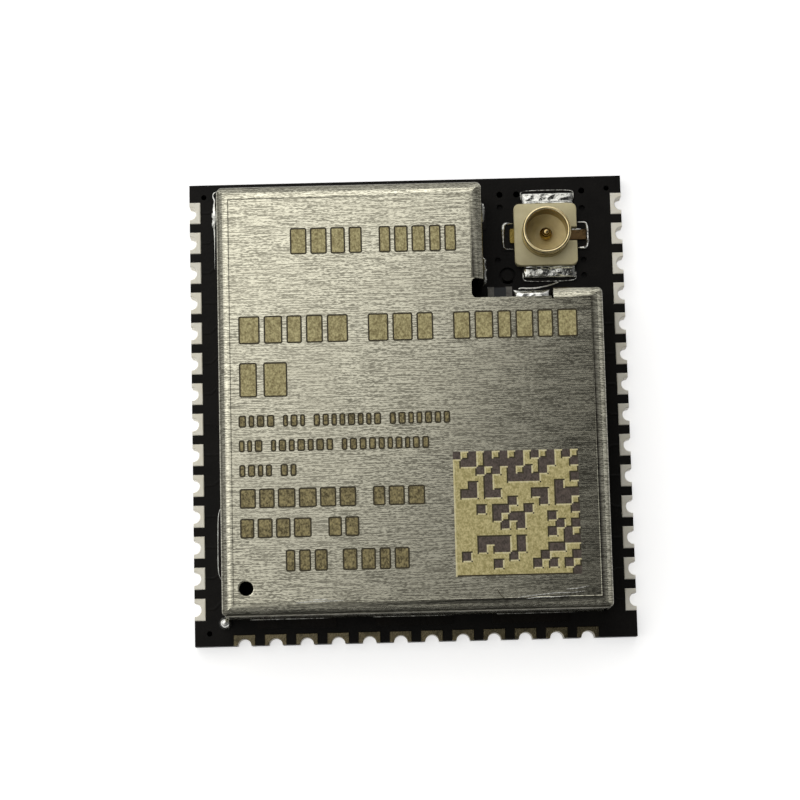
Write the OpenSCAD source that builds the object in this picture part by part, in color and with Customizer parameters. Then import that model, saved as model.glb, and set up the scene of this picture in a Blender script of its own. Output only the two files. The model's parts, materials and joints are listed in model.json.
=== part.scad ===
// Surface-mount radio module: a board with half-hole edge pads on three
// sides, a folded L-shaped shield can, and a coaxial antenna receptacle
// in the can's notch. Origin under the middle of the board, +Y towards
// the receptacle end, +Z out of the can.

/* [Board] */
// Board width across the two long pad rows
board_w = 18; // [17.6:0.1:19]
// Board length from the receptacle end to the short pad row
board_l = 19.2; // [19.1:0.1:20.5]
// Board thickness over the pads on both faces
board_t = 0.8; // [0.6:0.1:1.6]
// Thickness of a copper pad with its plating
pad_t = 0.04; // [0.02:0.01:0.06]

/* [Edge pads] */
// Distance between neighbouring edge pads
pad_pitch = 1.27; // [1.1:0.01:1.29]
// Number of pads in each long row
side_pads = 14; // [10:1:14]
// Number of pads in the short row
end_pads = 12; // [8:1:12]
// Distance from the receptacle end to the first long-row pad
first_pad_inset = 1.19; // [1:0.01:1.3]
// Pad width along the edge
pad_w = 0.9; // [0.7:0.05:1]
// Pad depth on the top face
top_pad_d = 0.45; // [0.4:0.05:0.6]
// Pad depth on the underside
bottom_pad_d = 0.85; // [0.6:0.05:1]
// Finished diameter of the half-round edge holes
edge_hole_d = 0.55; // [0.4:0.05:0.6]

/* [Ground pad] */
// Ground pad squares along each side
ground_count = 3; // [2:1:3]
// Side of one ground pad square
ground_w = 0.9; // [0.6:0.05:1.2]
// Gap between ground pad squares
ground_gap = 0.5; // [0.3:0.05:0.7]
// Offset of the ground pad and processor to the left of the board's middle
ground_left = 1.5; // [1.3:0.1:1.7]
// Distance from the receptacle end to the middle of the ground pad
ground_inset = 8.91; // [8.8:0.01:9.1]

/* [Shield can] */
// Can width over its walls
shield_w = 15.65; // [15.5:0.05:15.8]
// Can length over its walls
shield_l = 17.6; // [17.4:0.05:17.7]
// Can height above the board
shield_h = 2.4; // [2.2:0.1:3]
// Gap from the board's right edge to the can
shield_side_gap = 1.1; // [0.9:0.05:1.2]
// Gap from the board's receptacle end to the can
shield_end_gap = 0.7; // [0.5:0.05:0.8]
// Sheet thickness
sheet_t = 0.2; // [0.1:0.05:0.25]
// Outer radius of the bend between top and wall
bend_r = 0.45; // [0.35:0.05:0.5]
// Outer radius of the upright corners
corner_r = 0.6; // [0.55:0.05:0.7]
// Width of the slit between a wall and the corner beside it
corner_slit = 0.08; // [0.05:0.01:0.12]
// Notch width, from the can's right side
notch_w = 4.8; // [4.6:0.05:4.9]
// Notch length, from the receptacle end of the can
notch_l = 4.4; // [4.3:0.05:4.5]
// Distance that the relief in the notch's inner corner runs up the side wall
relief_reach = 0.42; // [0.3:0.02:0.6]
// Corner radius of the relief
relief_r = 0.2; // [0.1:0.02:0.3]
// Distance that the open sheet edge lies inside the notch's wall line
open_edge_set = 0.4; // [0.35:0.01:0.44]
// Length of the only wall on the notch's long side, corner included
flap_l = 2; // [1.4:0.1:2.4]
// Vent hole diameter
vent_d = 0.55; // [0.3:0.05:0.9]
// Distance from the can's left and short-row sides to the vent hole
vent_inset = 1.1; // [0.95:0.05:1.4]

/* [Shield seat] */
// Reach of the soldered strips outside the can's walls
land_out = 0.24; // [0.2:0.02:0.3]
// Reach of the soldered strips inside the can's walls
land_in = 0.16; // [0.1:0.02:0.2]
// Height of the solder fillets against the walls
fillet_h = 0.3; // [0.15:0.05:0.5]

/* [Antenna receptacle] */
// Distance from the board's right edge to the receptacle's axis
jack_side = 3.21; // [3.1:0.01:3.3]
// Distance from the receptacle end of the board to the axis
jack_end = 2.5; // [2.4:0.05:2.6]
// Side of the moulded base
jack_base_w = 2.6; // [2.4:0.05:2.7]
// Height of the moulded base
jack_base_h = 0.35; // [0.3:0.05:0.45]
// Corner radius of the moulded base
jack_corner_r = 0.22; // [0.1:0.02:0.3]
// Height of the ring above the board
jack_h = 1.25; // [1.1:0.05:1.5]
// Outer diameter of the ring
ring_d = 2; // [1.8:0.05:2.1]
// Wall of the ring
ring_wall = 0.16; // [0.12:0.01:0.2]
// Depth of the snap groove round the ring
snap_groove = 0.03; // [0.02:0.005:0.05]
// Diameter of the centre contact
contact_d = 0.5; // [0.4:0.05:0.55]
// Distance that the centre contact's tip lies below the ring's rim
contact_set = 0.35; // [0.2:0.05:0.5]
// Width of the contact's tail
tail_w = 0.42; // [0.3:0.02:0.46]
// Gap between the tail and the slot in the base, on each side
tail_gap = 0.08; // [0.05:0.01:0.12]
// Thickness of the receptacle's legs and tail
leg_t = 0.12; // [0.08:0.02:0.14]
// Width of the two wide ground legs
leg_w = 1.8; // [1.4:0.1:2]
// Width of the two wide soldered strips beside the base
jack_land_w = 2.2; // [2.1:0.05:2.4]
// Reach of the wide strips from the receptacle's axis
jack_land_reach = 1.95; // [1.8:0.05:2.1]
// Reach of the narrow strips from the receptacle's axis
tail_land_reach = 1.8; // [1.7:0.02:1.9]

/* [Chips] */
// Side of the processor package
processor_w = 7; // [6:0.5:7]
// Height of the processor package
processor_h = 0.85; // [0.7:0.05:1]
// Processor terminals along each side
processor_terminals_n = 14; // [10:1:15]
// Distance between processor terminals
processor_pitch = 0.4; // [0.35:0.05:0.4]
// Memory package size across the board
memory_l = 4; // [3:0.5:4.5]
// Memory package size along the board
memory_w = 3; // [2:0.5:3.5]
// Memory package height
memory_h = 0.6; // [0.5:0.05:0.8]
// Crystal size across the board
crystal_l = 3.2; // [2.5:0.1:3.2]
// Crystal size along the board
crystal_w = 2.5; // [2:0.1:2.5]
// Crystal height
crystal_h = 0.75; // [0.6:0.05:0.9]
// Length of a small chip part
chip_l = 1; // [0.9:0.05:1.1]
// Width of a small chip part
chip_w = 0.5; // [0.4:0.05:0.55]
// Length of each metal end on a small chip part
chip_end = 0.25; // [0.15:0.05:0.3]

/* [Hidden] */
$fn = 64;

eps = 0.01;

// Board edges and faces
board_right = board_w / 2;
board_end = board_l / 2;
core_top = board_t - pad_t;
function side_pad_y(i) = board_end - first_pad_inset - i * pad_pitch;
function end_pad_x(i) = (i - (end_pads - 1) / 2) * pad_pitch;

// Shield can planes
shield_x1 = board_right - shield_side_gap;
shield_x0 = shield_x1 - shield_w;
shield_y1 = board_end - shield_end_gap;
shield_y0 = shield_y1 - shield_l;
notch_x = shield_x1 - notch_w;
notch_y = shield_y1 - notch_l;
shield_top = board_t + shield_h;

// Receptacle
jack_x = board_right - jack_side;
jack_y = board_end - jack_end;
ring_r = ring_d / 2;
ring_bore_r = ring_r - ring_wall;
ring_foot = leg_t + tail_gap;
rim_r = ring_wall / 2;
groove_r = 0.1;
groove_z = jack_base_h + 0.55 * (jack_h - jack_base_h);
slot_w = tail_w + 2 * tail_gap;
contact_r = contact_d / 2;
jack_half = jack_base_w / 2;
leg_reach = jack_land_reach - 0.2;
tail_reach = tail_land_reach - 0.12;
lug_w = 0.6;
wide_land_shift = 0.12;
land_under = 0.3;
tail_land_w = 1.2;
riser_w = 0.5;
riser_lap = 0.03;
dish_depth = 0.14;
bank_gap = 0.02;
bank_high = 0.22;
bank_low = 0.07;

// Shallow pits of the covered vias, from the receptacle's axis
via_d = 0.26;
via_depth = 0.03;
via_spots = [
    [-1.85, 1.8], [-1.15, 1.8], [-1.85, 1.25], [1.57, 1.9],
    [1.57, 1.15], [1.57, -1.05], [1.57, -1.7], [-2, -1]
];
// Ring-shaped test spot, from the receptacle's axis
test_spot = [-1.62, -1.65];
test_spot_r = 0.35;
// Drill marks near three corners of the board
mark_d = 0.22;
mark_inset = [0.6, 0.52];

// Solder pool beside the flap's strip
pool_l = 1.45;
pool_h = 0.14;

// Chip placement
processor_at = [-ground_left, board_end - ground_inset];
processor_low = processor_at - [processor_w, processor_w] / 2;
processor_high = processor_at + [processor_w, processor_w] / 2;
terminal_l = 0.4;
terminal_w = 0.2;
terminal_t = 0.2;
thermal_w = 4;
memory_pitch = 0.8;
crystal_wall = 0.25;
crystal_lid_t = 0.12;
crystal_pad = [0.9, 0.8];
dot_r = 0.3;
dot_inset = 0.8;
chip_h = 0.35;

// The rooms that the processor leaves inside the can, as two corners each
can_low = [shield_x0 + sheet_t, shield_y0 + sheet_t];
can_high = [shield_x1 - sheet_t, shield_y1 - sheet_t];
left_room = [[can_low[0], processor_low[1]], [processor_low[0], processor_high[1]]];
right_room = [[processor_high[0], processor_low[1]], [can_high[0], notch_y - open_edge_set]];
near_room = [[can_low[0], processor_high[1]], [notch_x - sheet_t, can_high[1]]];
far_room = [can_low, [can_high[0], processor_low[1]]];
// A place in a room, from its shares of the room's width and length
function spot(room, across, along, turn = 0) = [
    room[0][0] + across * (room[1][0] - room[0][0]),
    room[0][1] + along * (room[1][1] - room[0][1]),
    turn
];
memory_at = spot(far_room, 0.27, 0.5);
crystal_at = spot(near_room, 0.3, 0.5);
capacitor_spots = concat(
    [for (i = [0:5]) spot(left_room, 0.5, (i + 0.5) / 6)],
    [for (i = [0:2]) spot(near_room, 0.6 + 0.1 * i, 0.25, 90)],
    [for (i = [0:1]) spot(near_room, 0.56, 0.6 + 0.2 * i)],
    [spot(right_room, 0.23, 0.13)]
);
resistor_spots = concat(
    [for (i = [0:2]) spot(far_room, 0.49, 0.25 + 0.2 * i)],
    [for (i = [0:2]) spot(far_room, 0.74 + 0.07 * i, 0.88, 90)]
);
inductor_spots = [
    spot(right_room, 0.21, 0.92, 90), spot(right_room, 0.39, 0.92, 90), spot(right_room, 0.21, 0.62)
];
// The antenna line's last part, just outside the can, from the notch corner
antenna_part = [0.72, 0.16];

// Rounded rectangle between two corners
module rounded_box_2d(low, high, r) {
    translate([low[0] + r, low[1]]) square([high[0] - low[0] - 2 * r, high[1] - low[1]]);
    translate([low[0], low[1] + r]) square([high[0] - low[0], high[1] - low[1] - 2 * r]);
    for (x = [low[0] + r, high[0] - r], y = [low[1] + r, high[1] - r])
        translate([x, y]) circle(r);
}

module block(size, low_z, height) {
    translate([-size[0] / 2, -size[1] / 2, low_z]) cube([size[0], size[1], height]);
}

// ---- Board ----

// Puts one child at every edge pad, with the board on the child's +Y side
module at_left_pads() {
    for (i = [0:side_pads - 1])
        translate([-board_right, side_pad_y(i), 0]) rotate(-90) children();
}
module at_right_pads() {
    for (i = [0:side_pads - 1])
        translate([board_right, side_pad_y(i), 0]) rotate(90) children();
}
module at_bottom_pads() {
    for (i = [0:end_pads - 1])
        translate([end_pad_x(i), -board_end, 0]) children();
}

module drilled_edge() {
    translate([0, 0, -eps]) cylinder(h = board_t + 2 * eps, d = edge_hole_d + 2 * pad_t);
}

module circuit_board() {
    color([0.1, 0.095, 0.09])
    difference() {
        block([board_w, board_l], pad_t, board_t - 2 * pad_t);
        at_left_pads() drilled_edge();
        at_right_pads() drilled_edge();
        at_bottom_pads() drilled_edge();
        for (spot = via_spots)
            translate([jack_x + spot[0], jack_y + spot[1], core_top - via_depth])
                cylinder(h = board_t, d = via_d);
        translate([jack_x + test_spot[0], jack_y + test_spot[1], core_top - via_depth])
            difference() {
                cylinder(h = board_t, r = test_spot_r);
                translate([0, 0, -eps]) cylinder(h = board_t + 2 * eps, r = test_spot_r - 0.12);
            }
        for (side = [[-1, 1], [1, 1], [-1, -1]])
            translate([
                side[0] * (board_right - mark_inset[0]),
                side[1] * (board_end - mark_inset[1]),
                core_top - via_depth
            ]) cylinder(h = board_t, d = mark_d);
    }
}

// Top pad, underside pad and the plated half barrel that joins them
module edge_pad() {
    difference() {
        union() {
            translate([-pad_w / 2, 0, 0]) cube([pad_w, bottom_pad_d, pad_t]);
            translate([-pad_w / 2, 0, core_top]) cube([pad_w, top_pad_d, pad_t]);
            intersection() {
                cylinder(h = board_t, d = edge_hole_d + 2 * pad_t);
                translate([-pad_w / 2, 0, 0]) cube([pad_w, pad_w, board_t]);
            }
        }
        translate([0, 0, -eps]) cylinder(h = board_t + 2 * eps, d = edge_hole_d);
    }
}

module left_edge_pads() {
    color([0.85, 0.7, 0.42]) at_left_pads() edge_pad();
}

module right_edge_pads() {
    color([0.85, 0.7, 0.42]) at_right_pads() edge_pad();
}

module bottom_edge_pads() {
    color([0.85, 0.7, 0.42]) at_bottom_pads() edge_pad();
}

module ground_pads() {
    step = ground_w + ground_gap;
    middle = (ground_count - 1) / 2;
    color([0.85, 0.7, 0.42])
    for (i = [0:ground_count - 1], j = [0:ground_count - 1])
        translate([processor_at[0] + (i - middle) * step, processor_at[1] + (j - middle) * step, 0])
            block([ground_w, ground_w], 0, pad_t);
}

// ---- Shield can ----

// The can's outline, drawn a distance inside its walls
module shield_outline_2d(inset) {
    r = corner_r - inset;
    rounded_box_2d([shield_x0 + inset, shield_y0 + inset], [shield_x1 - inset, notch_y - inset], r);
    rounded_box_2d([shield_x0 + inset, shield_y0 + inset], [notch_x - inset, shield_y1 - inset], r);
}

// Section of the bend: outer face of the wall at x = 0, inside of the can at -x
module bend_2d() {
    intersection() {
        translate([-bend_r, shield_top - bend_r])
            difference() {
                circle(bend_r);
                circle(bend_r - sheet_t);
            }
        translate([-bend_r, shield_top - bend_r]) square(bend_r);
    }
}

module wall_2d() {
    bend_2d();
    translate([-sheet_t, board_t]) square([sheet_t, shield_top - bend_r - board_t]);
}

// Puts its children at the start of a folded wall, with the wall along -Y and
// the outside at +X. $length is the wall's length, $slit the slit before the
// next corner, and $strips the start and length of each of its soldered
// strips, as shares of the wall's length
module at_wall(start, facing, length, strips, slit = corner_slit) {
    translate([start[0], start[1], 0]) rotate(facing)
        let ($length = length, $slit = slit, $strips = strips) children();
}

// Puts its children at each folded wall, clockwise from the receptacle end
module at_walls() {
    at_wall([shield_x0 + corner_r, shield_y1], 90, notch_x - shield_x0 - 2 * corner_r,
        [[0.06, 0.27], [0.6, 0.27]]) children();
    at_wall([notch_x, shield_y1 - corner_r], 0, notch_l - corner_r - relief_reach,
        [[0.02, 0.24], [0.64, 0.33]]) children();
    at_wall([shield_x1 - flap_l, notch_y], 90, flap_l - corner_r,
        [[0, 1]], 0) children();
    at_wall([shield_x1, notch_y - corner_r], 0, notch_y - shield_y0 - 2 * corner_r,
        [[0.09, 0.26], [0.58, 0.2]]) children();
    at_wall([shield_x1 - corner_r, shield_y0], -90, shield_w - 2 * corner_r,
        [[0.07, 0.22], [0.4, 0.22], [0.73, 0.22]]) children();
    at_wall([shield_x0, shield_y0 + corner_r], 180, shield_l - 2 * corner_r,
        [[0.07, 0.19], [0.46, 0.15], [0.9, 0.095]]) children();
}

// One folded wall; its upright part ends at the slit
module wall() {
    rotate([90, 0, 0]) linear_extrude($length) bend_2d();
    translate([-sheet_t, -$length, board_t])
        cube([sheet_t, $length - $slit, shield_top - bend_r - board_t]);
}

// A drawn upright corner, facing between the given direction and 90 degrees more
module corner(centre, facing) {
    translate([centre[0], centre[1], 0]) rotate(facing)
        rotate_extrude(angle = 90) translate([corner_r, 0]) wall_2d();
}

// The flat top: the outline inside the bends, the strip that ends in the
// open edge, and the rounded relief where the two sides of the notch meet
module shield_top_2d() {
    inner_x = notch_x - bend_r;
    inner_y = notch_y - bend_r;
    open_y = notch_y - open_edge_set;
    relief_end = notch_y + relief_reach;
    difference() {
        union() {
            shield_outline_2d(bend_r);
            translate([inner_x - relief_r, inner_y - relief_r])
                square([shield_x1 - flap_l - corner_slit - inner_x + relief_r, open_y - inner_y + relief_r]);
            translate([inner_x - relief_r, inner_y]) square([2 * relief_r, relief_end - inner_y]);
        }
        rounded_box_2d([inner_x, open_y], [shield_x1, relief_end], relief_r);
        translate([shield_x0 + vent_inset, shield_y0 + vent_inset]) circle(d = vent_d);
    }
}

module shield_can() {
    color([0.72, 0.7, 0.64]) {
        translate([0, 0, shield_top - sheet_t]) linear_extrude(sheet_t) shield_top_2d();
        at_walls() wall();
        corner([shield_x0 + corner_r, shield_y1 - corner_r], 90);
        corner([notch_x - corner_r, shield_y1 - corner_r], 0);
        corner([shield_x1 - corner_r, notch_y - corner_r], 0);
        corner([shield_x1 - corner_r, shield_y0 + corner_r], -90);
        corner([shield_x0 + corner_r, shield_y0 + corner_r], 180);
    }
}

// Puts one child at the start of each soldered strip; $strip is its length
module at_strips() {
    at_walls() for (share = $strips)
        let ($strip = share[1] * $length) translate([0, -share[0] * $length, 0]) children();
}

// Puts its children at the corner of the solder pool beside the flap
module at_pool() {
    translate([shield_x1 - flap_l - corner_slit - pool_l, notch_y, 0]) children();
}

module shield_lands() {
    color([0.75, 0.75, 0.72]) {
        at_strips()
            translate([-sheet_t - land_in, -$strip, core_top])
                cube([sheet_t + land_in + land_out, $strip, pad_t]);
        at_pool() translate([0, -land_in, core_top]) cube([pool_l, land_in + land_out, pad_t]);
    }
}

// Hollow solder fillet between the wall at x = 0 and the strip at y = 0
module fillet_2d() {
    lip = 0.04;
    polygon(concat(
        [[0, fillet_h], [0, 0], [land_out, 0]],
        [for (a = [0:15:90]) [
            land_out - (land_out - lip) * sin(a),
            fillet_h - (fillet_h - lip) * cos(a)
        ]]
    ));
}

module shield_solder() {
    pool_w = land_in + land_out;
    pool_r = (pool_w * pool_w / 4 + pool_h * pool_h) / (2 * pool_h);
    color([0.8, 0.8, 0.78]) {
        at_strips()
            translate([0, 0, board_t]) rotate([90, 0, 0]) linear_extrude($strip) fillet_2d();
        at_pool() intersection() {
            translate([0, land_out - pool_w / 2, board_t + pool_h - pool_r])
                rotate([0, 90, 0]) cylinder(h = pool_l, r = pool_r);
            translate([0, -land_in, board_t]) cube([pool_l, pool_w, pool_h]);
        }
    }
}

// ---- Antenna receptacle, drawn round its axis with the board's top at z = 0 ----

module at_jack() {
    translate([jack_x, jack_y, board_t]) children();
}

module ring_2d() {
    difference() {
        union() {
            translate([ring_bore_r, ring_foot]) square([ring_wall, jack_h - rim_r - ring_foot]);
            translate([ring_bore_r + rim_r, jack_h - rim_r]) circle(rim_r);
        }
        translate([ring_r + groove_r - snap_groove, groove_z]) circle(groove_r);
    }
}

// A ground leg towards +X, with the narrow riser that joins it to the ring
module ground_leg(width, reach) {
    root = ring_bore_r - leg_t;
    riser_x0 = ring_bore_r + riser_lap / 4;
    riser_x1 = sqrt(ring_r * ring_r - riser_w * riser_w / 4) - riser_lap / 4;
    translate([(root + reach) / 2, 0, 0]) block([reach - root, width], 0, leg_t);
    translate([(riser_x0 + riser_x1) / 2, 0, 0])
        block([riser_x1 - riser_x0, riser_w], 0, ring_foot + riser_lap);
}

// Snap ring, two wide ground legs and a narrow one, of one sheet
module shell_form() {
    rotate_extrude() ring_2d();
    for (side = [90, -90]) rotate(side) ground_leg(leg_w, leg_reach);
    rotate(180) ground_leg(lug_w, tail_reach);
}

// Domed centre contact with its flat tail towards +X
module contact_form() {
    tip = jack_h - contact_set;
    rotate_extrude() intersection() {
        union() {
            square([contact_r, tip - contact_r]);
            translate([0, tip - contact_r]) circle(contact_r);
        }
        square([contact_r, tip]);
    }
    translate([0, -tail_w / 2, 0]) cube([tail_reach, tail_w, leg_t]);
}

module receptacle_base() {
    corner_at = [jack_half, jack_half];
    color([0.78, 0.73, 0.6])
    at_jack() difference() {
        linear_extrude(jack_base_h) rounded_box_2d(-corner_at, corner_at, jack_corner_r);
        translate([0, 0, jack_base_h - dish_depth])
            cylinder(h = dish_depth + eps, r1 = contact_r + dish_depth, r2 = ring_bore_r);
        translate([ring_r - ring_wall / 2, -slot_w / 2, -eps]) cube([jack_half, slot_w, jack_base_h + 2 * eps]);
        shell_form();
        contact_form();
    }
}

module receptacle_shell() {
    color([0.83, 0.68, 0.38]) at_jack() shell_form();
}

module receptacle_contact() {
    color([0.83, 0.68, 0.38]) at_jack() contact_form();
}

// Puts its children beside the base, with the outside at +X
module at_wide_sides() {
    for (side = [90, -90]) translate([wide_land_shift, 0, 0]) rotate(side) children();
}
module at_narrow_sides() {
    for (side = [0, 180]) rotate(side) children();
}

module receptacle_lands() {
    land_root = jack_half - land_under;
    color([0.75, 0.75, 0.72]) translate([0, 0, -pad_t]) at_jack() {
        at_wide_sides() translate([(land_root + jack_land_reach) / 2, 0, 0])
            block([jack_land_reach - land_root, jack_land_w], 0, pad_t);
        at_narrow_sides() translate([(land_root + tail_land_reach) / 2, 0, 0])
            block([tail_land_reach - land_root, tail_land_w], 0, pad_t);
    }
}

// Sloping solder from the base's side out to the end of a strip
module solder_bank(reach, width) {
    start = jack_half + bank_gap;
    translate([0, width / 2, 0]) rotate([90, 0, 0]) linear_extrude(width)
        polygon([[start, 0], [reach, 0], [reach, bank_low], [start, bank_high]]);
}

module receptacle_solder() {
    color([0.8, 0.8, 0.78])
    at_jack() difference() {
        union() {
            at_wide_sides() solder_bank(jack_land_reach, jack_land_w);
            at_narrow_sides() solder_bank(tail_land_reach, tail_land_w);
        }
        shell_form();
        contact_form();
    }
}

// ---- Parts inside the can ----

// Puts its children at a row of terminals on the given sides, each at the
// package's edge with the outside at +X
module at_terminals(half_l, half_w, count, pitch, sides) {
    for (side = sides, i = [0:count - 1])
        rotate(side)
            translate([side % 180 == 0 ? half_l : half_w, (i - (count - 1) / 2) * pitch, 0])
                children();
}

module at_processor() {
    translate([processor_at[0], processor_at[1], board_t]) children();
}
module at_processor_terminals() {
    at_processor()
        at_terminals(processor_w / 2, processor_w / 2, processor_terminals_n, processor_pitch, [0, 90, 180, 270])
            translate([-terminal_l / 2, 0, 0]) children();
}

module processor_terminals() {
    color([0.8, 0.78, 0.7]) {
        at_processor_terminals() block([terminal_l, terminal_w], 0, terminal_t);
        at_processor() block([thermal_w, thermal_w], 0, terminal_t);
    }
}

module processor_body() {
    dot_at = processor_w / 2 - dot_inset;
    color([0.15, 0.15, 0.16])
    difference() {
        at_processor() difference() {
            block([processor_w, processor_w], 0, processor_h);
            translate([-dot_at, dot_at, processor_h - via_depth]) cylinder(h = processor_h, r = dot_r);
        }
        processor_terminals();
    }
}

module at_memory() {
    translate([memory_at[0], memory_at[1], board_t]) children();
}
module at_memory_terminals() {
    at_memory() at_terminals(memory_l / 2, memory_w / 2, 4, memory_pitch, [0, 180])
        translate([-terminal_l / 2, 0, 0]) children();
}

module memory_terminals() {
    color([0.8, 0.78, 0.7]) at_memory_terminals() block([terminal_l, 1.5 * terminal_w], 0, terminal_t);
}

module memory_body() {
    color([0.15, 0.15, 0.16])
    difference() {
        at_memory() block([memory_l, memory_w], 0, memory_h);
        memory_terminals();
    }
}

module at_crystal() {
    translate([crystal_at[0], crystal_at[1], board_t]) children();
}

// Ceramic tray with a quarter-round cut at each corner
module crystal_base() {
    cut_r = 0.2;
    color([0.72, 0.62, 0.5])
    at_crystal() difference() {
        block([crystal_l, crystal_w], 0, crystal_h - crystal_lid_t);
        for (x = [-1, 1], y = [-1, 1])
            translate([x * crystal_l / 2, y * crystal_w / 2, -eps]) cylinder(h = crystal_h, r = cut_r);
    }
}

module crystal_lid() {
    far = [crystal_l / 2 - crystal_wall, crystal_w / 2 - crystal_wall];
    color([0.8, 0.78, 0.72])
    at_crystal() translate([0, 0, crystal_h - crystal_lid_t])
        linear_extrude(crystal_lid_t) rounded_box_2d(-far, far, crystal_wall);
}

// Puts its children at each small part of a list of places and turns
module at_spots(spots) {
    for (s = spots) translate([s[0], s[1], board_t]) rotate(s[2]) children();
}
module at_inductors() {
    at_spots(inductor_spots) children();
    translate([notch_x + antenna_part[0], notch_y + antenna_part[1], board_t]) children();
}
module chip_body(height) {
    body_set = 0.02;
    block([chip_l - 2 * chip_end, chip_w - 2 * body_set], 0, height - body_set);
}
module at_chip_ends() {
    for (side = [-1, 1]) translate([side * (chip_l - chip_end) / 2, 0, 0]) children();
}
module chip_ends(height) {
    at_chip_ends() block([chip_end, chip_w], 0, height);
}

module capacitor_bodies() {
    color([0.66, 0.52, 0.38]) at_spots(capacitor_spots) chip_body(chip_w);
}
module capacitor_ends() {
    color([0.8, 0.8, 0.78]) at_spots(capacitor_spots) chip_ends(chip_w);
}
module resistor_bodies() {
    color([0.12, 0.12, 0.13]) at_spots(resistor_spots) chip_body(chip_h);
}
module resistor_ends() {
    color([0.8, 0.8, 0.78]) at_spots(resistor_spots) chip_ends(chip_h);
}
module inductor_bodies() {
    color([0.3, 0.34, 0.4]) at_inductors() chip_body(chip_h);
}
module inductor_ends() {
    color([0.8, 0.8, 0.78]) at_inductors() chip_ends(chip_h);
}

// Board strips under every terminal of the parts inside the can
module component_lands() {
    spread = 0.05;
    color([0.75, 0.75, 0.72]) translate([0, 0, -pad_t]) {
        at_processor_terminals() block([terminal_l, terminal_w], 0, pad_t);
        at_processor() block([thermal_w, thermal_w], 0, pad_t);
        at_memory_terminals() block([terminal_l, 1.5 * terminal_w], 0, pad_t);
        at_crystal() for (x = [-1, 1], y = [-1, 1])
            translate([x * (crystal_l - crystal_pad[0]) / 2, y * (crystal_w - crystal_pad[1]) / 2, 0])
                block(crystal_pad, 0, pad_t);
        at_spots(concat(capacitor_spots, resistor_spots)) at_chip_ends()
            block([chip_end, chip_w + 2 * spread], 0, pad_t);
        at_inductors() at_chip_ends() block([chip_end, chip_w + 2 * spread], 0, pad_t);
    }
}

circuit_board();
left_edge_pads();
right_edge_pads();
bottom_edge_pads();
ground_pads();
shield_lands();
receptacle_lands();
component_lands();
shield_can();
shield_solder();
receptacle_base();
receptacle_shell();
receptacle_contact();
receptacle_solder();
processor_body();
processor_terminals();
memory_body();
memory_terminals();
crystal_base();
crystal_lid();
capacitor_bodies();
capacitor_ends();
resistor_bodies();
resistor_ends();
inductor_bodies();
inductor_ends();
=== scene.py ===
import json
import math

import bmesh
import bpy
import numpy as np
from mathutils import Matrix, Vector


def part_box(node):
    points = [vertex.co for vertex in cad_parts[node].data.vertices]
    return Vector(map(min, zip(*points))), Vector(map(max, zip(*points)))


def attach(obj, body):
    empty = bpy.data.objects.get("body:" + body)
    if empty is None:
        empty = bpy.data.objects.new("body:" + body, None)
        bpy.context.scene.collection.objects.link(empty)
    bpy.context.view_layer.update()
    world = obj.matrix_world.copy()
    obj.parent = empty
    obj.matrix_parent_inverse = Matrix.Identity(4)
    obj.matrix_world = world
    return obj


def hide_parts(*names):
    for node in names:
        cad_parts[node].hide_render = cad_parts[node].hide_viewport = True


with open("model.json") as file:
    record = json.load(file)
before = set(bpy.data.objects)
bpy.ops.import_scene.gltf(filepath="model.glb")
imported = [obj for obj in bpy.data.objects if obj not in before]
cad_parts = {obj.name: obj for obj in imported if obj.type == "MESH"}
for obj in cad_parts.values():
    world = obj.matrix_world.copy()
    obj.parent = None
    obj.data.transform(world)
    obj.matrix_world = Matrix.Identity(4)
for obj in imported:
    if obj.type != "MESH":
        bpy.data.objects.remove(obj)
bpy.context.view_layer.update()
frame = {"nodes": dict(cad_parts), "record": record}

mm = 0.001
cadNodes = frame["nodes"]
print("frame loaded:", len(cadNodes), "nodes")


def cornersOf(node):
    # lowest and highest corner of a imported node, in millimetres
    low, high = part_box(node)
    return np.array(low) / mm, np.array(high) / mm


canLow, canHigh = cornersOf("shield_can")
boardLow, boardHigh = cornersOf("circuit_board")
padHigh = cornersOf("left_edge_pads")[1]
jackLow, jackHigh = cornersOf("receptacle_base")
jackMiddle = (jackLow[:2] + jackHigh[:2]) / 2
boardTop = padHigh[2]
maskTop = boardHigh[2]


# shape functions: every surface is worked out in millimetres

def gridCells(rows, columns, closeRows=False, closeColumns=False):
    # the four corners of each cell of a grid of points that is stored row by row
    i = np.arange(rows if closeRows else rows - 1)[:, None]
    j = np.arange(columns if closeColumns else columns - 1)[None, :]
    nextRow, nextColumn = (i + 1) % rows, (j + 1) % columns
    cells = [i * columns + j, nextRow * columns + j, nextRow * columns + nextColumn, i * columns + nextColumn]
    return np.stack(np.broadcast_arrays(*cells), -1).reshape(-1, 4)


def spokes(angles):
    # (cos a, sin a) for each angle a in radians
    return np.stack([np.cos(angles), np.sin(angles)], -1)


def unit(arrows):
    # each row divided by its length
    return arrows / np.linalg.norm(arrows, axis=1, keepdims=True)


def raised(flat, height):
    # plan points (x, y) as (x, y, height)
    return np.insert(flat, 2, height, axis=1)


def arc(centre, radius, startAngle, endAngle, steps=12):
    # centre + radius * (cos a, sin a), with a in degrees from start to end
    a = np.radians(np.linspace(startAngle, endAngle, steps + 1))
    return np.array(centre) + radius * spokes(a)


def circle(centre, radius, steps=48):
    # a whole turn of the arc, without the last point, which would repeat the first
    return arc(centre, radius, 0, 360, steps)[:-1]


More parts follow.
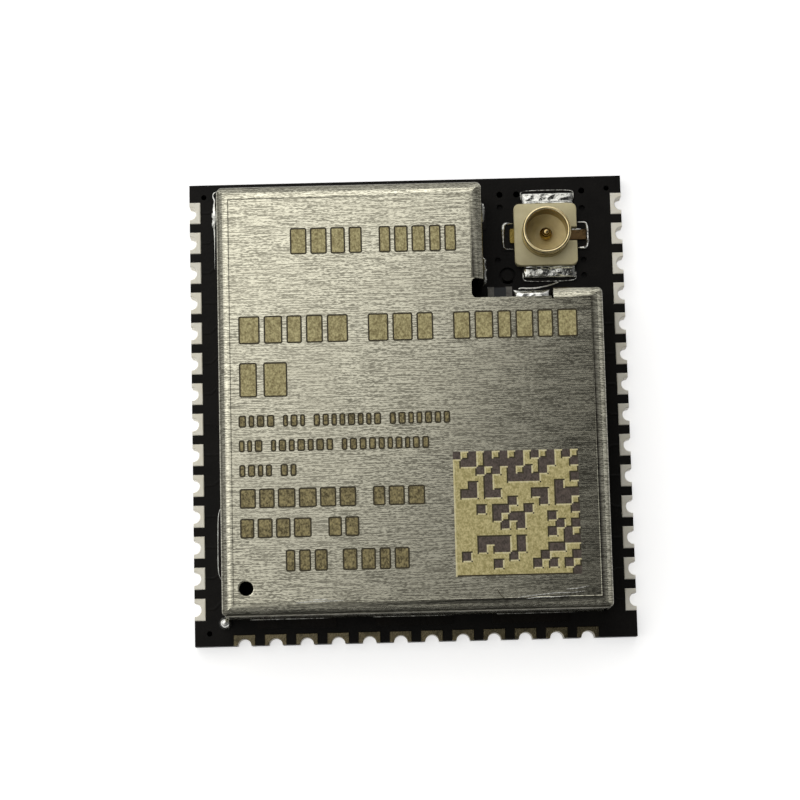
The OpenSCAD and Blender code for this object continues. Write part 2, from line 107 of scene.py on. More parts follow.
def roundedLoop(corners, radii, steps=6):
    # each corner becomes an arc that touches both of its sides: its centre lies on the
    # corner's bisector at radius / sin(half the corner's angle)
    corners = np.array(corners, float)
    radii = np.maximum(np.broadcast_to(np.array(radii, float), len(corners)), 1e-4)[:, None]
    back = unit(np.roll(corners, 1, 0) - corners)
    ahead = unit(np.roll(corners, -1, 0) - corners)
    half = np.arccos(np.clip((back * ahead).sum(1, keepdims=True), -1, 1)) / 2
    centre = corners + unit(back + ahead) * radii / np.sin(half)
    start = corners + back * radii / np.tan(half) - centre
    end = corners + ahead * radii / np.tan(half) - centre
    first = np.arctan2(start[:, 1], start[:, 0])
    turn = np.arctan2(end[:, 1], end[:, 0]) - first
    turn = (turn + np.pi) % (2 * np.pi) - np.pi
    angle = first[:, None] + turn[:, None] * np.linspace(0, 1, steps + 1)
    return (centre[:, None] + radii[:, None] * spokes(angle)).reshape(-1, 2)


def box2d(low, high):
    # the four corners of a rectangle, anticlockwise from its lowest
    return [(low[0], low[1]), (high[0], low[1]), (high[0], high[1]), (low[0], high[1])]


def tubeFaces(rows, columns):
    # quads between neighbouring loops, and a flat face over each end
    faces = list(map(tuple, gridCells(rows, columns, False, True)))
    return faces + [tuple(range(columns)), tuple(range((rows - 1) * columns, rows * columns))]


def carryProfile(profile, place, outward, sheetStart=0.0):
    # vertex(i, j) = place(i) + outward(i) * out(j), at height up(j); a profile is a closed loop of
    # (out, up). The third result is the unrolled sheet: place(i) + outward(i) * length along the profile
    profile, place, outward = np.array(profile, float), np.array(place, float), np.array(outward, float)
    rows, columns = len(place), len(profile)
    flat = place[:, None] + outward[:, None] * profile[None, :, :1]
    up = np.broadcast_to(profile[None, :, 1:], (rows, columns, 1))
    vertices = np.concatenate([flat, up], -1).reshape(-1, 3)
    steps = np.linalg.norm(np.diff(profile, axis=0), axis=1)
    along = sheetStart + np.concatenate([[0], np.cumsum(steps)])
    unrolled = (place[:, None] + outward[:, None] * along[None, :, None]).reshape(-1, 2)
    return vertices, tubeFaces(rows, columns), unrolled


def carryRound(path, radius, sides=10):
    # a round section carried along a path of (x, y, z), radius[0] wide and radius[1] high; at both ends it
    # shrinks by (1 - t^8)^0.5
    path = np.array(path, float)
    heading = unit(np.gradient(path[:, :2], axis=0))
    side = np.stack([heading[:, 1], -heading[:, 0], np.zeros(len(path))], -1)
    a = np.linspace(0, 2 * np.pi, sides, endpoint=False)
    taper = np.sqrt(np.clip(1 - np.linspace(-1, 1, len(path)) ** 8, 0.02, 1))[:, None, None]
    wide, high = (np.broadcast_to(r, len(path))[:, None, None] for r in radius)
    across = side[:, None] * wide * np.cos(a)[None, :, None]
    upward = np.array([0, 0, 1]) * high * np.sin(a)[None, :, None]
    vertices = (path[:, None] + (across + upward) * taper).reshape(-1, 3)
    return vertices, tubeFaces(len(path), sides), None


def loftRings(rings, closeLoop=False, closeRings=True):
    # rings(i, j) is a stack of outlines with the same number of points; neighbours are joined by quads
    rings = np.array(rings, float)
    rows, columns = rings.shape[:2]
    faces = list(map(tuple, gridCells(rows, columns, closeLoop, closeRings)))
    if not closeLoop:
        faces += [tuple(range(columns)), tuple(range((rows - 1) * columns, rows * columns))]
    elif not closeRings:
        first = np.arange(rows) * columns
        faces += [tuple(first), tuple(first + columns - 1)]
    return rings.reshape(-1, 3), faces, None


def revolve(profile, centre, low=0.0, steps=96):
    # vertex(i, j) = centre + radius(j) * (cos a(i), sin a(i)), at height low + up(j)
    profile = np.array(profile, float)
    a = np.linspace(0, 2 * np.pi, steps, endpoint=False)
    flat = np.array(centre) + spokes(a)[:, None] * profile[None, :, :1]
    up = np.broadcast_to(profile[None, :, 1:] + low, (steps, len(profile), 1))
    faces = list(map(tuple, gridCells(steps, len(profile), True, True)))
    return np.concatenate([flat, up], -1).reshape(-1, 3), faces, None


def flatSheet(outlines, low, high):
    # outlines filled by the even-odd rule, given the thickness from low to high
    curve = bpy.data.curves.new("outline", "CURVE")
    curve.dimensions = "2D"
    curve.fill_mode = "BOTH"
    curve.extrude = (high - low) / 2
    for outline in outlines:
        spline = curve.splines.new("POLY")
        spline.points.add(len(outline) - 1)
        four = np.column_stack([outline, np.zeros(len(outline)), np.ones(len(outline))])
        spline.points.foreach_set("co", four.ravel())
        spline.use_cyclic_u = True
    holder = bpy.data.objects.new("outline", curve)
    mesh = bpy.data.meshes.new_from_object(holder)
    vertices = np.empty(len(mesh.vertices) * 3)
    mesh.vertices.foreach_get("co", vertices)
    vertices = vertices.reshape(-1, 3) + [0, 0, (low + high) / 2]
    faces = [tuple(p.vertices) for p in mesh.polygons]
    bpy.data.meshes.remove(mesh)
    bpy.data.objects.remove(holder)
    bpy.data.curves.remove(curve)
    return vertices, faces, vertices[:, :2].copy()


def maskedSheet(xs, ys, mask, low, high):
    # the cells of a grid of lines xs, ys where mask is true, from low to high, with walls where a cell ends
    nx, ny = len(xs), len(ys)
    gx, gy = np.meshgrid(xs, ys, indexing="ij")
    layer = np.stack([gx, gy, np.zeros_like(gx)], -1).reshape(-1, 3)
    vertices = np.concatenate([layer + [0, 0, low], layer + [0, 0, high]])
    cells = gridCells(nx, ny)[mask.ravel()]
    padded = np.pad(mask, 1)
    walls = []
    for axis in (0, 1):
        inside = tuple(slice(1, -1) if k != axis else slice(None) for k in (0, 1))
        changes = np.diff(padded.astype(int), axis=axis)[inside]
        i, j = np.nonzero(changes)
        start = i * ny + j
        end = start + (1 if axis == 0 else ny)
        walls.append(np.stack([start, end, end + nx * ny, start + nx * ny], -1))
    faces = np.concatenate([cells + nx * ny, cells[:, ::-1]] + walls)
    used, faces = np.unique(faces, return_inverse=True)
    return vertices[used], list(map(tuple, faces.reshape(-1, 4))), vertices[used][:, :2]


def copies(part, places, turns):
    # one copy of a part for each place, turned about Z by the given degrees first
    vertices, faces, _ = part
    a = np.radians(np.array(turns, float))[:, None]
    x = vertices[None, :, 0] * np.cos(a) - vertices[None, :, 1] * np.sin(a)
    y = vertices[None, :, 0] * np.sin(a) + vertices[None, :, 1] * np.cos(a)
    z = np.broadcast_to(vertices[None, :, 2], x.shape)
    shift = np.array(places, float)[:, None]
    out = np.stack([x, y, z], -1) + np.pad(shift, ((0, 0), (0, 0), (0, 3 - shift.shape[2])))
    return [(v, faces, None) for v in out]


def makePiece(name, parts, material, standsFor=(), sharp=32, shade=None):
    # joins the parts into one closed mesh in metres, welds it, points it outwards and gives it to the
    # frame; shade works out a painted shade for each point, which the material reads as paintedBendShade
    vertices, faces, flat, start = [], [], [], 0
    for points, cells, unrolled in parts:
        vertices.append(points)
        flat.append(points[:, :2] if unrolled is None else unrolled)
        faces += [tuple(int(k) + start for k in cell) for cell in cells]
        start += len(points)
    mesh = bpy.data.meshes.new(name)
    mesh.from_pydata(np.concatenate(vertices) * mm, [], faces)
    layer = mesh.uv_layers.new(name="unrolled")
    corners = np.empty(len(mesh.loops), int)
    mesh.loops.foreach_get("vertex_index", corners)
    layer.data.foreach_set("uv", (np.concatenate(flat)[corners] * 0.02 + 0.5).ravel())
    if shade is not None:
        layer = mesh.attributes.new("paintedBendShade", "FLOAT", "POINT")
        layer.data.foreach_set("value", shade(np.concatenate(vertices)))
    work = bmesh.new()
    work.from_mesh(mesh)
    bmesh.ops.remove_doubles(work, verts=work.verts, dist=2e-8)
    bmesh.ops.dissolve_degenerate(work, edges=work.edges, dist=2e-8)
    bmesh.ops.recalc_face_normals(work, faces=work.faces)
    work.to_mesh(mesh)
    work.free()
    mesh.shade_smooth()
    mesh.set_sharp_from_angle(angle=math.radians(sharp))
    piece = bpy.data.objects.new(name, mesh)
    bpy.context.scene.collection.objects.link(piece)
    mesh.materials.append(material)
    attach(piece, "root")
    if standsFor:
        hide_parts(*standsFor)
    return piece


def wobble(x, y, seed, waves=5):
    # a smooth height between about -1 and 1: the mean of a few plane sine waves of random direction
    rng = np.random.default_rng(seed)
    total = np.zeros(np.broadcast(x, y).shape)
    for _ in range(waves):
        angle, pitch, phase = rng.uniform(0, math.pi), rng.uniform(0.7, 1.6), rng.uniform(0, 2 * math.pi)
        total += np.sin(2 * math.pi * pitch * (x * math.cos(angle) + y * math.sin(angle)) + phase)
    return total / waves


# shader nodes

def newGroup(name, inputs, outputs):
    # an empty node group with inputs as (name, kind, value) and outputs as (name, kind)
    group = bpy.data.node_groups.new(name, "ShaderNodeTree")
    for label, kind, value in inputs:
        entry = group.interface.new_socket(name=label, in_out="INPUT", socket_type=kind)
        if value is not None:
            entry.default_value = value
    for label, kind in outputs:
        group.interface.new_socket(name=label, in_out="OUTPUT", socket_type=kind)
    return group, group.nodes.new("NodeGroupInput"), group.nodes.new("NodeGroupOutput")


def add(tree, kind, sockets=None, **settings):
    # a node with its settings and the values of its unlinked sockets
    node = tree.nodes.new(kind)
    for key, value in settings.items():
        setattr(node, key, value)
    for key, value in (sockets or {}).items():
        node.inputs[key].default_value = value
    return node


def join(tree, *pairs):
    for source, target in pairs:
        tree.links.new(source, target)


def calc(tree, operation, first, second=None, third=None):
    # a Math node; a number is typed in and a socket is linked
    node = add(tree, "ShaderNodeMath", operation=operation)
    for slotIndex, value in enumerate((first, second, third)):
        if value is None:
            continue
        if isinstance(value, (int, float)):
            node.inputs[slotIndex].default_value = value
        else:
            tree.links.new(value, node.inputs[slotIndex])
    return node.outputs[0]


def blendColours(tree, factor, first, second):
    # a Mix node between two colours, each a tuple or a socket
    node = add(tree, "ShaderNodeMix", data_type="RGBA")
    for socket, value in ((node.inputs["Factor"], factor), (node.inputs[6], first), (node.inputs[7], second)):
        if isinstance(value, (int, float)):
            socket.default_value = value
        elif isinstance(value, tuple):
            socket.default_value = (*value, 1)
        else:
            tree.links.new(value, socket)
    return node.outputs[2]


def spread(tree, value, low, high, toLow=0.0, toHigh=1.0):
    # a Map Range node that is clamped at both ends
    limits = {"From Min": low, "From Max": high, "To Min": toLow, "To Max": toHigh}
    node = add(tree, "ShaderNodeMapRange", limits)
    tree.links.new(value, node.inputs["Value"])
    return node.outputs["Result"]


def makeStreaks():
    # fine lines along one direction: three noises, each stretched along X of the given vector
    group, start, end = newGroup(
        "brushedStreaks",
        [("Vector", "NodeSocketVector", None), ("Lines per mm", "NodeSocketFloat", 24.0),
         ("Line length", "NodeSocketFloat", 0.8)],
        [("Short", "NodeSocketFloat"), ("Long", "NodeSocketFloat"), ("Broad", "NodeSocketFloat")])
    split = add(group, "ShaderNodeSeparateXYZ")
    join(group, (start.outputs["Vector"], split.inputs[0]))
    kinds = (("Short", 0.16, 1.0, 1.0), ("Long", 1.0, 0.85, 1.5), ("Broad", 2.4, 0.12, 3.0))
    for label, lengthShare, lineShare, detail in kinds:
        length = calc(group, "MULTIPLY", start.outputs["Line length"], lengthShare)
        lineCount = calc(group, "MULTIPLY", start.outputs["Lines per mm"], lineShare)
        merge = add(group, "ShaderNodeCombineXYZ")
        join(group, (calc(group, "DIVIDE", split.outputs[0], length), merge.inputs[0]),
             (calc(group, "MULTIPLY", split.outputs[1], lineCount), merge.inputs[1]),
             (split.outputs[2], merge.inputs[2]))
        noise = add(group, "ShaderNodeTexNoise", {"Scale": 1.0, "Detail": detail, "Roughness": 0.6})
        join(group, (merge.outputs[0], noise.inputs["Vector"]), (noise.outputs["Fac"], end.inputs[label]))
    return group


def makeGrain():
    # small pits and clouds: two noises in object space, given in grains per millimetre
    group, start, end = newGroup(
        "fineGrain",
        [("Vector", "NodeSocketVector", None), ("Grains per mm", "NodeSocketFloat", 10.0)],
        [("Grain", "NodeSocketFloat"), ("Clouds", "NodeSocketFloat")])
    for label, factor, detail in (("Grain", 1.0, 2.0), ("Clouds", 0.12, 4.0)):
        noise = add(group, "ShaderNodeTexNoise", {"Detail": detail, "Roughness": 0.55})
        join(group, (start.outputs["Vector"], noise.inputs["Vector"]),
             (calc(group, "MULTIPLY", start.outputs["Grains per mm"], factor), noise.inputs["Scale"]),
             (noise.outputs["Fac"], end.inputs[label]))
    return group


def makeHandling():
    # fingerprints and light stains as a mask: clouds of noise, bent by a second noise
    group, start, end = newGroup(
        "handlingMarks",
        [("Vector", "NodeSocketVector", None), ("Marks per mm", "NodeSocketFloat", 0.3)],
        [("Stain", "NodeSocketFloat"), ("Specks", "NodeSocketFloat")])
    bend = add(group, "ShaderNodeTexNoise", {"Detail": 2.0})
    join(group, (start.outputs["Vector"], bend.inputs["Vector"]),
         (start.outputs["Marks per mm"], bend.inputs["Scale"]))
    shifted = add(group, "ShaderNodeVectorMath", operation="MULTIPLY_ADD")
    shifted.inputs[1].default_value = (2.0, 2.0, 2.0)
    join(group, (bend.outputs["Color"], shifted.inputs[0]), (start.outputs["Vector"], shifted.inputs[2]))
    clouds = add(group, "ShaderNodeTexNoise", {"Detail": 5.0, "Roughness": 0.6})
    join(group, (shifted.outputs[0], clouds.inputs["Vector"]),
         (start.outputs["Marks per mm"], clouds.inputs["Scale"]))
    specks = add(group, "ShaderNodeTexVoronoi", feature="F1")
    join(group, (start.outputs["Vector"], specks.inputs["Vector"]),
         (calc(group, "MULTIPLY", start.outputs["Marks per mm"], 9.0), specks.inputs["Scale"]))
    join(group, (spread(group, clouds.outputs["Fac"], 0.42, 0.66), end.inputs["Stain"]),
         (spread(group, specks.outputs["Distance"], 0.16, 0.06), end.inputs["Specks"]))
    return group


streaks, grain, handling = makeStreaks(), makeGrain(), makeHandling()


def inMillimetres(tree, source="Object"):
    # the piece's own coordinates in millimetres, from its object space or its unrolled map
    coordinates = add(tree, "ShaderNodeTexCoord")
    scaled = add(tree, "ShaderNodeVectorMath", operation="SCALE")
    scaled.inputs["Scale"].default_value = 1 / mm if source == "Object" else 50.0
    join(tree, (coordinates.outputs[source], scaled.inputs[0]))
    return scaled.outputs[0]


def useGroup(tree, group, vector, values):
    # a node group on the given coordinates, with the values of its other inputs
    node = tree.nodes.new("ShaderNodeGroup")
    node.node_tree = group
    for key, value in values.items():
        node.inputs[key].default_value = value
    tree.links.new(vector, node.inputs["Vector"])
    return node


def startMaterial(name, plain):
    # a material with a Principled shader, whose plain values are set on its own sockets
    material = bpy.data.materials.new(name)
    material.use_nodes = True
    tree = material.node_tree
    shader = tree.nodes["Principled BSDF"]
    for key, value in plain.items():
        shader.inputs[key].default_value = value
    return material, tree, shader


def addBump(tree, shader, height, depth):
    # relief of the given depth in millimetres
    bump = add(tree, "ShaderNodeBump", {"Strength": 1.0, "Distance": depth * mm})
    join(tree, (height, bump.inputs["Height"]), (bump.outputs["Normal"], shader.inputs["Normal"]))


def addSpecks(tree, marks, look, colour):
    # small dark or light specks over a colour
    amount = calc(tree, "MULTIPLY", marks.outputs["Specks"], look["specks"])
    return blendColours(tree, amount, colour, look["specked"])


def addRoughness(tree, shader, value, look):
    # roughness that wanders by roughSpread to both sides
    low, high = look["roughness"] - look["roughSpread"], look["roughness"] + look["roughSpread"]
    join(tree, (spread(tree, value, 0.3, 0.7, low, high), shader.inputs["Roughness"]))


def metalFinish(name, look):
    # metal with clouds in its roughness, grain in its height, and stains and specks in its colour
    material, tree, shader = startMaterial(name, {"Metallic": 1.0})
    vector = inMillimetres(tree)
    marks = useGroup(tree, handling, vector, {"Marks per mm": look["marksPerMm"]})
    rough = useGroup(tree, grain, vector, {"Grains per mm": look["grainsPerMm"]})
    colour = blendColours(tree, marks.outputs["Stain"], look["colour"], look["stained"])
    join(tree, (addSpecks(tree, marks, look, colour), shader.inputs["Base Color"]))
    addRoughness(tree, shader, rough.outputs["Clouds"], look)
    addBump(tree, shader, rough.outputs["Grain"], look["depth"])
    return material


def dullFinish(name, look):
    # moulded, glazed or masked surface: grain in its height and roughness, clouds and specks in its colour
    plain = {"Metallic": 0.0, "Specular IOR Level": look["shine"]}
    material, tree, shader = startMaterial(name, plain)
    vector = inMillimetres(tree)
    rough = useGroup(tree, grain, vector, {"Grains per mm": look["grainsPerMm"]})
    marks = useGroup(tree, handling, vector, {"Marks per mm": look["marksPerMm"]})
    clouds = spread(tree, rough.outputs["Clouds"], 0.3, 0.7)
    colour = blendColours(tree, clouds, look["colour"], look["clouded"])
    join(tree, (addSpecks(tree, marks, look, colour), shader.inputs["Base Color"]))
    addRoughness(tree, shader, rough.outputs["Grain"], look)
    addBump(tree, shader, rough.outputs["Grain"], look["depth"])
    return material


metalLooks = {
    "gold_plate": dict(
        colour=(0.86, 0.72, 0.42), stained=(0.74, 0.6, 0.33), specked=(0.3, 0.2, 0.1),
        specks=0.5, marksPerMm=1.2, grainsPerMm=16.0, roughness=0.34, roughSpread=0.1, depth=0.004),
    "solder": dict(
        colour=(0.67, 0.67, 0.63), stained=(0.46, 0.46, 0.43), specked=(0.06, 0.05, 0.04),
        specks=0.8, marksPerMm=1.8, grainsPerMm=6.0, roughness=0.14, roughSpread=0.06, depth=0.03),
    # solder painted almost white: a painted highlight over the solder's own grey
    "solderPaintedHighlight": dict(
        colour=(0.97, 0.97, 0.93), stained=(0.84, 0.84, 0.8), specked=(0.1, 0.09, 0.08),
        specks=0.5, marksPerMm=1.6, grainsPerMm=7.0, roughness=0.24, roughSpread=0.08, depth=0.012),
    # the contact's tail painted dark bronze: painted shade over its gold
    "tailPaintedShade": dict(
        colour=(0.16, 0.1, 0.045), stained=(0.07, 0.045, 0.02), specked=(0.4, 0.28, 0.1),
        specks=0.3, marksPerMm=2.0, grainsPerMm=10.0, roughness=0.3, roughSpread=0.08, depth=0.006),
    # the end pads' gold painted dark: painted shade and a painted dark reflection over the plating
    "endGoldPaintedShade": dict(
        colour=(0.22, 0.185, 0.11), stained=(0.11, 0.095, 0.06), specked=(0.6, 0.48, 0.25),
        specks=0.3, marksPerMm=1.4, grainsPerMm=14.0, roughness=0.26, roughSpread=0.08, depth=0.006),
    "receptacle_gold": dict(
        colour=(0.84, 0.71, 0.42), stained=(0.62, 0.5, 0.26), specked=(0.3, 0.2, 0.08),
        specks=0.4, marksPerMm=0.9, grainsPerMm=20.0, roughness=0.13, roughSpread=0.05, depth=0.002),
    # the ring's walls and legs, their gold painted dark brown: painted shade, while the rim keeps the bright
    # gold
    "ringGoldPaintedShade": dict(
        colour=(0.34, 0.25, 0.065), stained=(0.2, 0.14, 0.03), specked=(0.06, 0.04, 0.01),
        specks=0.5, marksPerMm=1.1, grainsPerMm=18.0, roughness=0.2, roughSpread=0.06, depth=0.003),
    "tipGold": dict(
        colour=(0.6, 0.46, 0.22), stained=(0.4, 0.28, 0.12), specked=(0.7, 0.55, 0.3),
        specks=0.3, marksPerMm=2.2, grainsPerMm=14.0, roughness=0.09, roughSpread=0.04, depth=0.003),
    # painted shade: the terminals are painted dark, as if in the can's shadow
    "terminal_tin": dict(
        colour=(0.17, 0.165, 0.15), stained=(0.08, 0.075, 0.07), specked=(0.5, 0.48, 0.44),
        specks=0.4, marksPerMm=1.5, grainsPerMm=18.0, roughness=0.42, roughSpread=0.1, depth=0.004),
    "crystal_lid_metal": dict(
        colour=(0.74, 0.72, 0.66), stained=(0.62, 0.6, 0.54), specked=(0.3, 0.28, 0.25),
        specks=0.3, marksPerMm=0.8, grainsPerMm=12.0, roughness=0.3, roughSpread=0.08, depth=0.003),
}
dullLooks = {
    # the side pads' gold painted near white and not metallic: painted light over the plating
    "sideGoldPaintedLight": dict(
        colour=(1.0, 0.97, 0.87), clouded=(0.97, 0.92, 0.77), specked=(0.62, 0.5, 0.28), shine=0.6,
        specks=0.4, marksPerMm=1.2, grainsPerMm=16.0, roughness=0.34, roughSpread=0.08, depth=0.003),
    "solder_mask": dict(
        colour=(0.006, 0.0055, 0.005), clouded=(0.01, 0.009, 0.008), specked=(0.035, 0.03, 0.026), shine=0.1,
        specks=0.25, marksPerMm=0.9, grainsPerMm=9.0, roughness=0.4, roughSpread=0.1, depth=0.006),
    # the dish's plastic, painted darker and yellower than the base: painted shade under the ring and painted
    # gold bounce light
    "dishPaintedShade": dict(
        colour=(0.84, 0.68, 0.31), clouded=(0.7, 0.55, 0.23), specked=(0.3, 0.2, 0.06), shine=0.5,
        specks=0.5, marksPerMm=1.6, grainsPerMm=22.0, roughness=0.35, roughSpread=0.08, depth=0.004),
    "receptacle_plastic": dict(
        colour=(0.79, 0.71, 0.44), clouded=(0.7, 0.62, 0.36), specked=(0.28, 0.22, 0.12), shine=0.5,
        specks=0.2, marksPerMm=0.9, grainsPerMm=22.0, roughness=0.48, roughSpread=0.08, depth=0.004),
    "package_black": dict(
        colour=(0.022, 0.022, 0.023), clouded=(0.03, 0.03, 0.03), specked=(0.08, 0.08, 0.08), shine=0.4,
        specks=0.3, marksPerMm=0.8, grainsPerMm=26.0, roughness=0.62, roughSpread=0.1, depth=0.008),
    "crystal_ceramic": dict(
        colour=(0.46, 0.36, 0.24), clouded=(0.4, 0.31, 0.2), specked=(0.2, 0.15, 0.1), shine=0.4,
        specks=0.2, marksPerMm=1.0, grainsPerMm=24.0, roughness=0.55, roughSpread=0.08, depth=0.005),
    "capacitor_ceramic": dict(
        colour=(0.38, 0.25, 0.14), clouded=(0.32, 0.2, 0.11), specked=(0.15, 0.1, 0.06), shine=0.5,
        specks=0.2, marksPerMm=1.5, grainsPerMm=26.0, roughness=0.42, roughSpread=0.08, depth=0.004),
    # the solder lands painted near black and dull: a painted dark reflection over their metal
    "landsPaintedDark": dict(
        colour=(0.004, 0.0035, 0.003), clouded=(0.009, 0.007, 0.005), specked=(0.06, 0.05, 0.03), shine=0.12,
        specks=0.3, marksPerMm=1.2, grainsPerMm=6.0, roughness=0.32, roughSpread=0.1, depth=0.008),
    "resistor_glaze": dict(
        colour=(0.016, 0.016, 0.018), clouded=(0.024, 0.024, 0.026), specked=(0.3, 0.3, 0.3), shine=0.6,
        specks=0.15, marksPerMm=1.5, grainsPerMm=22.0, roughness=0.25, roughSpread=0.06, depth=0.003),
    # painted shade: the inductor bodies are painted darker, as if in the can's shadow
    "inductor_ceramic": dict(
        colour=(0.016, 0.018, 0.022), clouded=(0.011, 0.013, 0.017), specked=(0.02, 0.02, 0.03), shine=0.5,
        specks=0.3, marksPerMm=1.5, grainsPerMm=22.0, roughness=0.35, roughSpread=0.08, depth=0.004),
}
finishes = {name: metalFinish(name, look) for name, look in metalLooks.items()}
finishes.update({name: dullFinish(name, look) for name, look in dullLooks.items()})


canShape = dict(
    notchWide=4.8, notchLong=4.4, sheet=0.2, bendReach=0.52, cornerRadius=0.24, slit=0.08, footSoft=0.03,
    # the bend from the top down: a fine crease, then facets as (width, angle) joined by small arcs
    creaseWide=0.04, creaseDeep=0.009, facets=[(0.19, 25), (0.175, 43)], softRadius=0.08,
    reliefReach=0.42, reliefRadius=0.2, openEdgeSet=0.4, openCorner=0.05, flapLong=2.0,
    ventWide=0.55, ventInset=(1.0, 1.1), ventSoft=0.06, markHigh=0.004, southIn=0.14, northOut=0.08,
    # painted shade, set for each side by how the light falls: how far it darkens the bend in the crease, at
    # the ridge between the facets, at the end of the steep facet, near the edge, and on the wall
    paintedShades=dict(west=(0.30, 0.34, 0.90, 0.42, 0.35), south=(0.38, 0.08, 0.985, 0.80, 0.50),
                east=(0.88, 0.0, 0.80, 0.58, 0.35), north=(0.22, 0.12, 0.50, 0.65, 0.35)),
    # where those shades lie: by the distance inward from the wall, and for the wall by the depth below
    edgeTo=0.045, steepSpan=(0.06, 0.235), ridgeAt=0.245, gentleSpan=(0.256, 0.445), creaseFrom=0.475,
    wallBelow=0.40)
# the near-black that the painted shade of the bends and walls mixes into the sheet's colour
canLook = dict(
    colour=(0.95, 0.92, 0.745), streakColour=(0.30, 0.287, 0.225), stained=(0.62, 0.59, 0.47),
    paintedShadeColour=(0.020, 0.018, 0.013), streakSpan=(0.455, 0.545), broadSpan=(0.45, 0.75), broadShare=0.35,
    stainShare=0.3, marksPerMm=0.25,
    linesPerMm=24.0, lineLength=1.15, roughness=0.20, roughSpread=0.04, depth=0.0022, anisotropy=0.6)


def halfEach(tree, first, second):
    # the mean of two values
    return calc(tree, "ADD", calc(tree, "MULTIPLY", first, 0.5), calc(tree, "MULTIPLY", second, 0.5))


def brushedFinish(look):
    # rolled and brushed sheet: lines along the sheet's length in colour, roughness and height
    plain = {"Metallic": 1.0, "Anisotropic": look["anisotropy"], "Anisotropic Rotation": 0.25}
    material, tree, shader = startMaterial("can_sheet", plain)
    vector = inMillimetres(tree, "UV")
    sizes = {"Lines per mm": look["linesPerMm"], "Line length": look["lineLength"]}
    lines = useGroup(tree, streaks, vector, sizes)
    marks = useGroup(tree, handling, vector, {"Marks per mm": look["marksPerMm"]})
    both = halfEach(tree, lines.outputs["Short"], lines.outputs["Long"])
    colour = blendColours(tree, spread(tree, both, *look["streakSpan"]), look["streakColour"], look["colour"])
    broad = spread(tree, lines.outputs["Broad"], *look["broadSpan"])
    broad = calc(tree, "MULTIPLY", broad, look["broadShare"])
    colour = blendColours(tree, broad, colour, look["stained"])
    stain = calc(tree, "MULTIPLY", marks.outputs["Stain"], look["stainShare"])
    colour = blendColours(tree, stain, colour, look["stained"])
    # painted shade: the bends and walls are mixed towards a near-black by the attribute that the can's shape
    # sets
    paintedShadeNode = add(tree, "ShaderNodeAttribute", attribute_name="paintedBendShade")
    colour = blendColours(tree, paintedShadeNode.outputs["Fac"], colour, look["paintedShadeColour"])
    join(tree, (colour, shader.inputs["Base Color"]))
    addRoughness(tree, shader, lines.outputs["Broad"], look)
    tangent = add(tree, "ShaderNodeTangent", direction_type="UV_MAP", uv_map="unrolled")
    join(tree, (tangent.outputs[0], shader.inputs["Tangent"]))
    addBump(tree, shader, both, look["depth"])
    return material


def bendProfile(shape, top):
    # inward offset from the wall's plane and height, from the flat top to the wall: a crease, then for each
    # facet an arc that turns down to its angle and a straight stretch, and a last arc down to 90 degrees
    wide, deep, soft = shape["creaseWide"], shape["creaseDeep"], shape["softRadius"]
    points = [(0, 0), (wide * 0.25, -deep), (wide * 0.6, -deep), (wide, 0)]
    x, z, tilt = wide, 0.0, 0.0
    for reach, angle in shape["facets"] + [(0, 90)]:
        turn = math.radians(angle)
        radius = soft if reach else (shape["bendReach"] - x) / (1 - math.sin(tilt))
        a = np.linspace(tilt, turn, 7)[1:]
        arcX = x + radius * (np.sin(a) - math.sin(tilt))
        arcZ = z - radius * (math.cos(tilt) - np.cos(a))
        points += list(np.stack([arcX, arcZ], -1))
        x, z, tilt = points[-1][0] + reach, points[-1][1] - reach * math.tan(turn if reach else 0), turn
        if reach:
            points.append((x, z))
    return np.array(points) * [-1, 1] + [shape["bendReach"], top]


def canCorners(shape, x0, x1, y0, y1):
    # the outline from the flap, clockwise to the notch's other side, and the way each of its walls faces
    notchX, notchY = x1 - shape["notchWide"], y1 - shape["notchLong"]
    corners = [(x1 - shape["flapLong"], notchY), (x1, notchY), (x1, y0), (x0, y0), (x0, y1), (notchX, y1),
               (notchX, notchY + shape["reliefReach"])]
    facing = [(0, 1), (1, 0), (0, -1), (-1, 0), (0, 1), (1, 0)]
    return np.array(corners), np.array(facing, float)


def carryMitred(profile, corners, facing, radius, steps=8):
    # profile points are (inward offset d, height); a corner is an arc of radius - d while d is smaller than
    # the radius, and a sharp mitre at d once it is larger. The third result is the unrolled sheet
    columns, sheets = [], []
    inward = np.concatenate([[0], np.cumsum(np.linalg.norm(np.diff(profile, axis=0), axis=1))])
    a = np.linspace(0, np.pi / 2, steps + 1)[:, None]
    for (d, z), length in zip(profile, inward):
        points, outwards = [corners[:1] - facing[:1] * d], [facing[:1]]
        for k in range(1, len(corners) - 1):
            before, after = facing[k - 1], facing[k]
            outward = before * np.cos(a) + after * np.sin(a)
            points.append(corners[k] - (before + after) * max(d, radius) + outward * max(radius - d, 0))
            outwards.append(outward)
        points.append(corners[-1:] - facing[-1:] * d)
        outwards.append(facing[-1:])
        points, outwards = np.concatenate(points), np.concatenate(outwards)
        columns.append(np.column_stack([points, np.full(len(points), z)]))
        sheets.append(points + outwards * (length - (profile[0, 0] - d)))
    grid = np.stack(columns, 1)
    return grid.reshape(-1, 3), tubeFaces(*grid.shape[:2]), np.stack(sheets, 1).reshape(-1, 2)


def bendSection(shape, top):
    # the bend's outer profile, and back along an inner one that lies a sheet's thickness away
    sheet = shape["sheet"]
    outer = bendProfile(shape, top)
    normal = unit(np.stack([np.gradient(outer[:, 1]), -np.gradient(outer[:, 0])], -1))
    inner = outer[::2] + np.abs(normal[::2]) * [sheet, -sheet]
    inner[0], inner[-1] = (shape["bendReach"], top - sheet), (sheet, outer[-1, 1])
    return np.concatenate([outer, inner[::-1]]), outer[-1, 1]


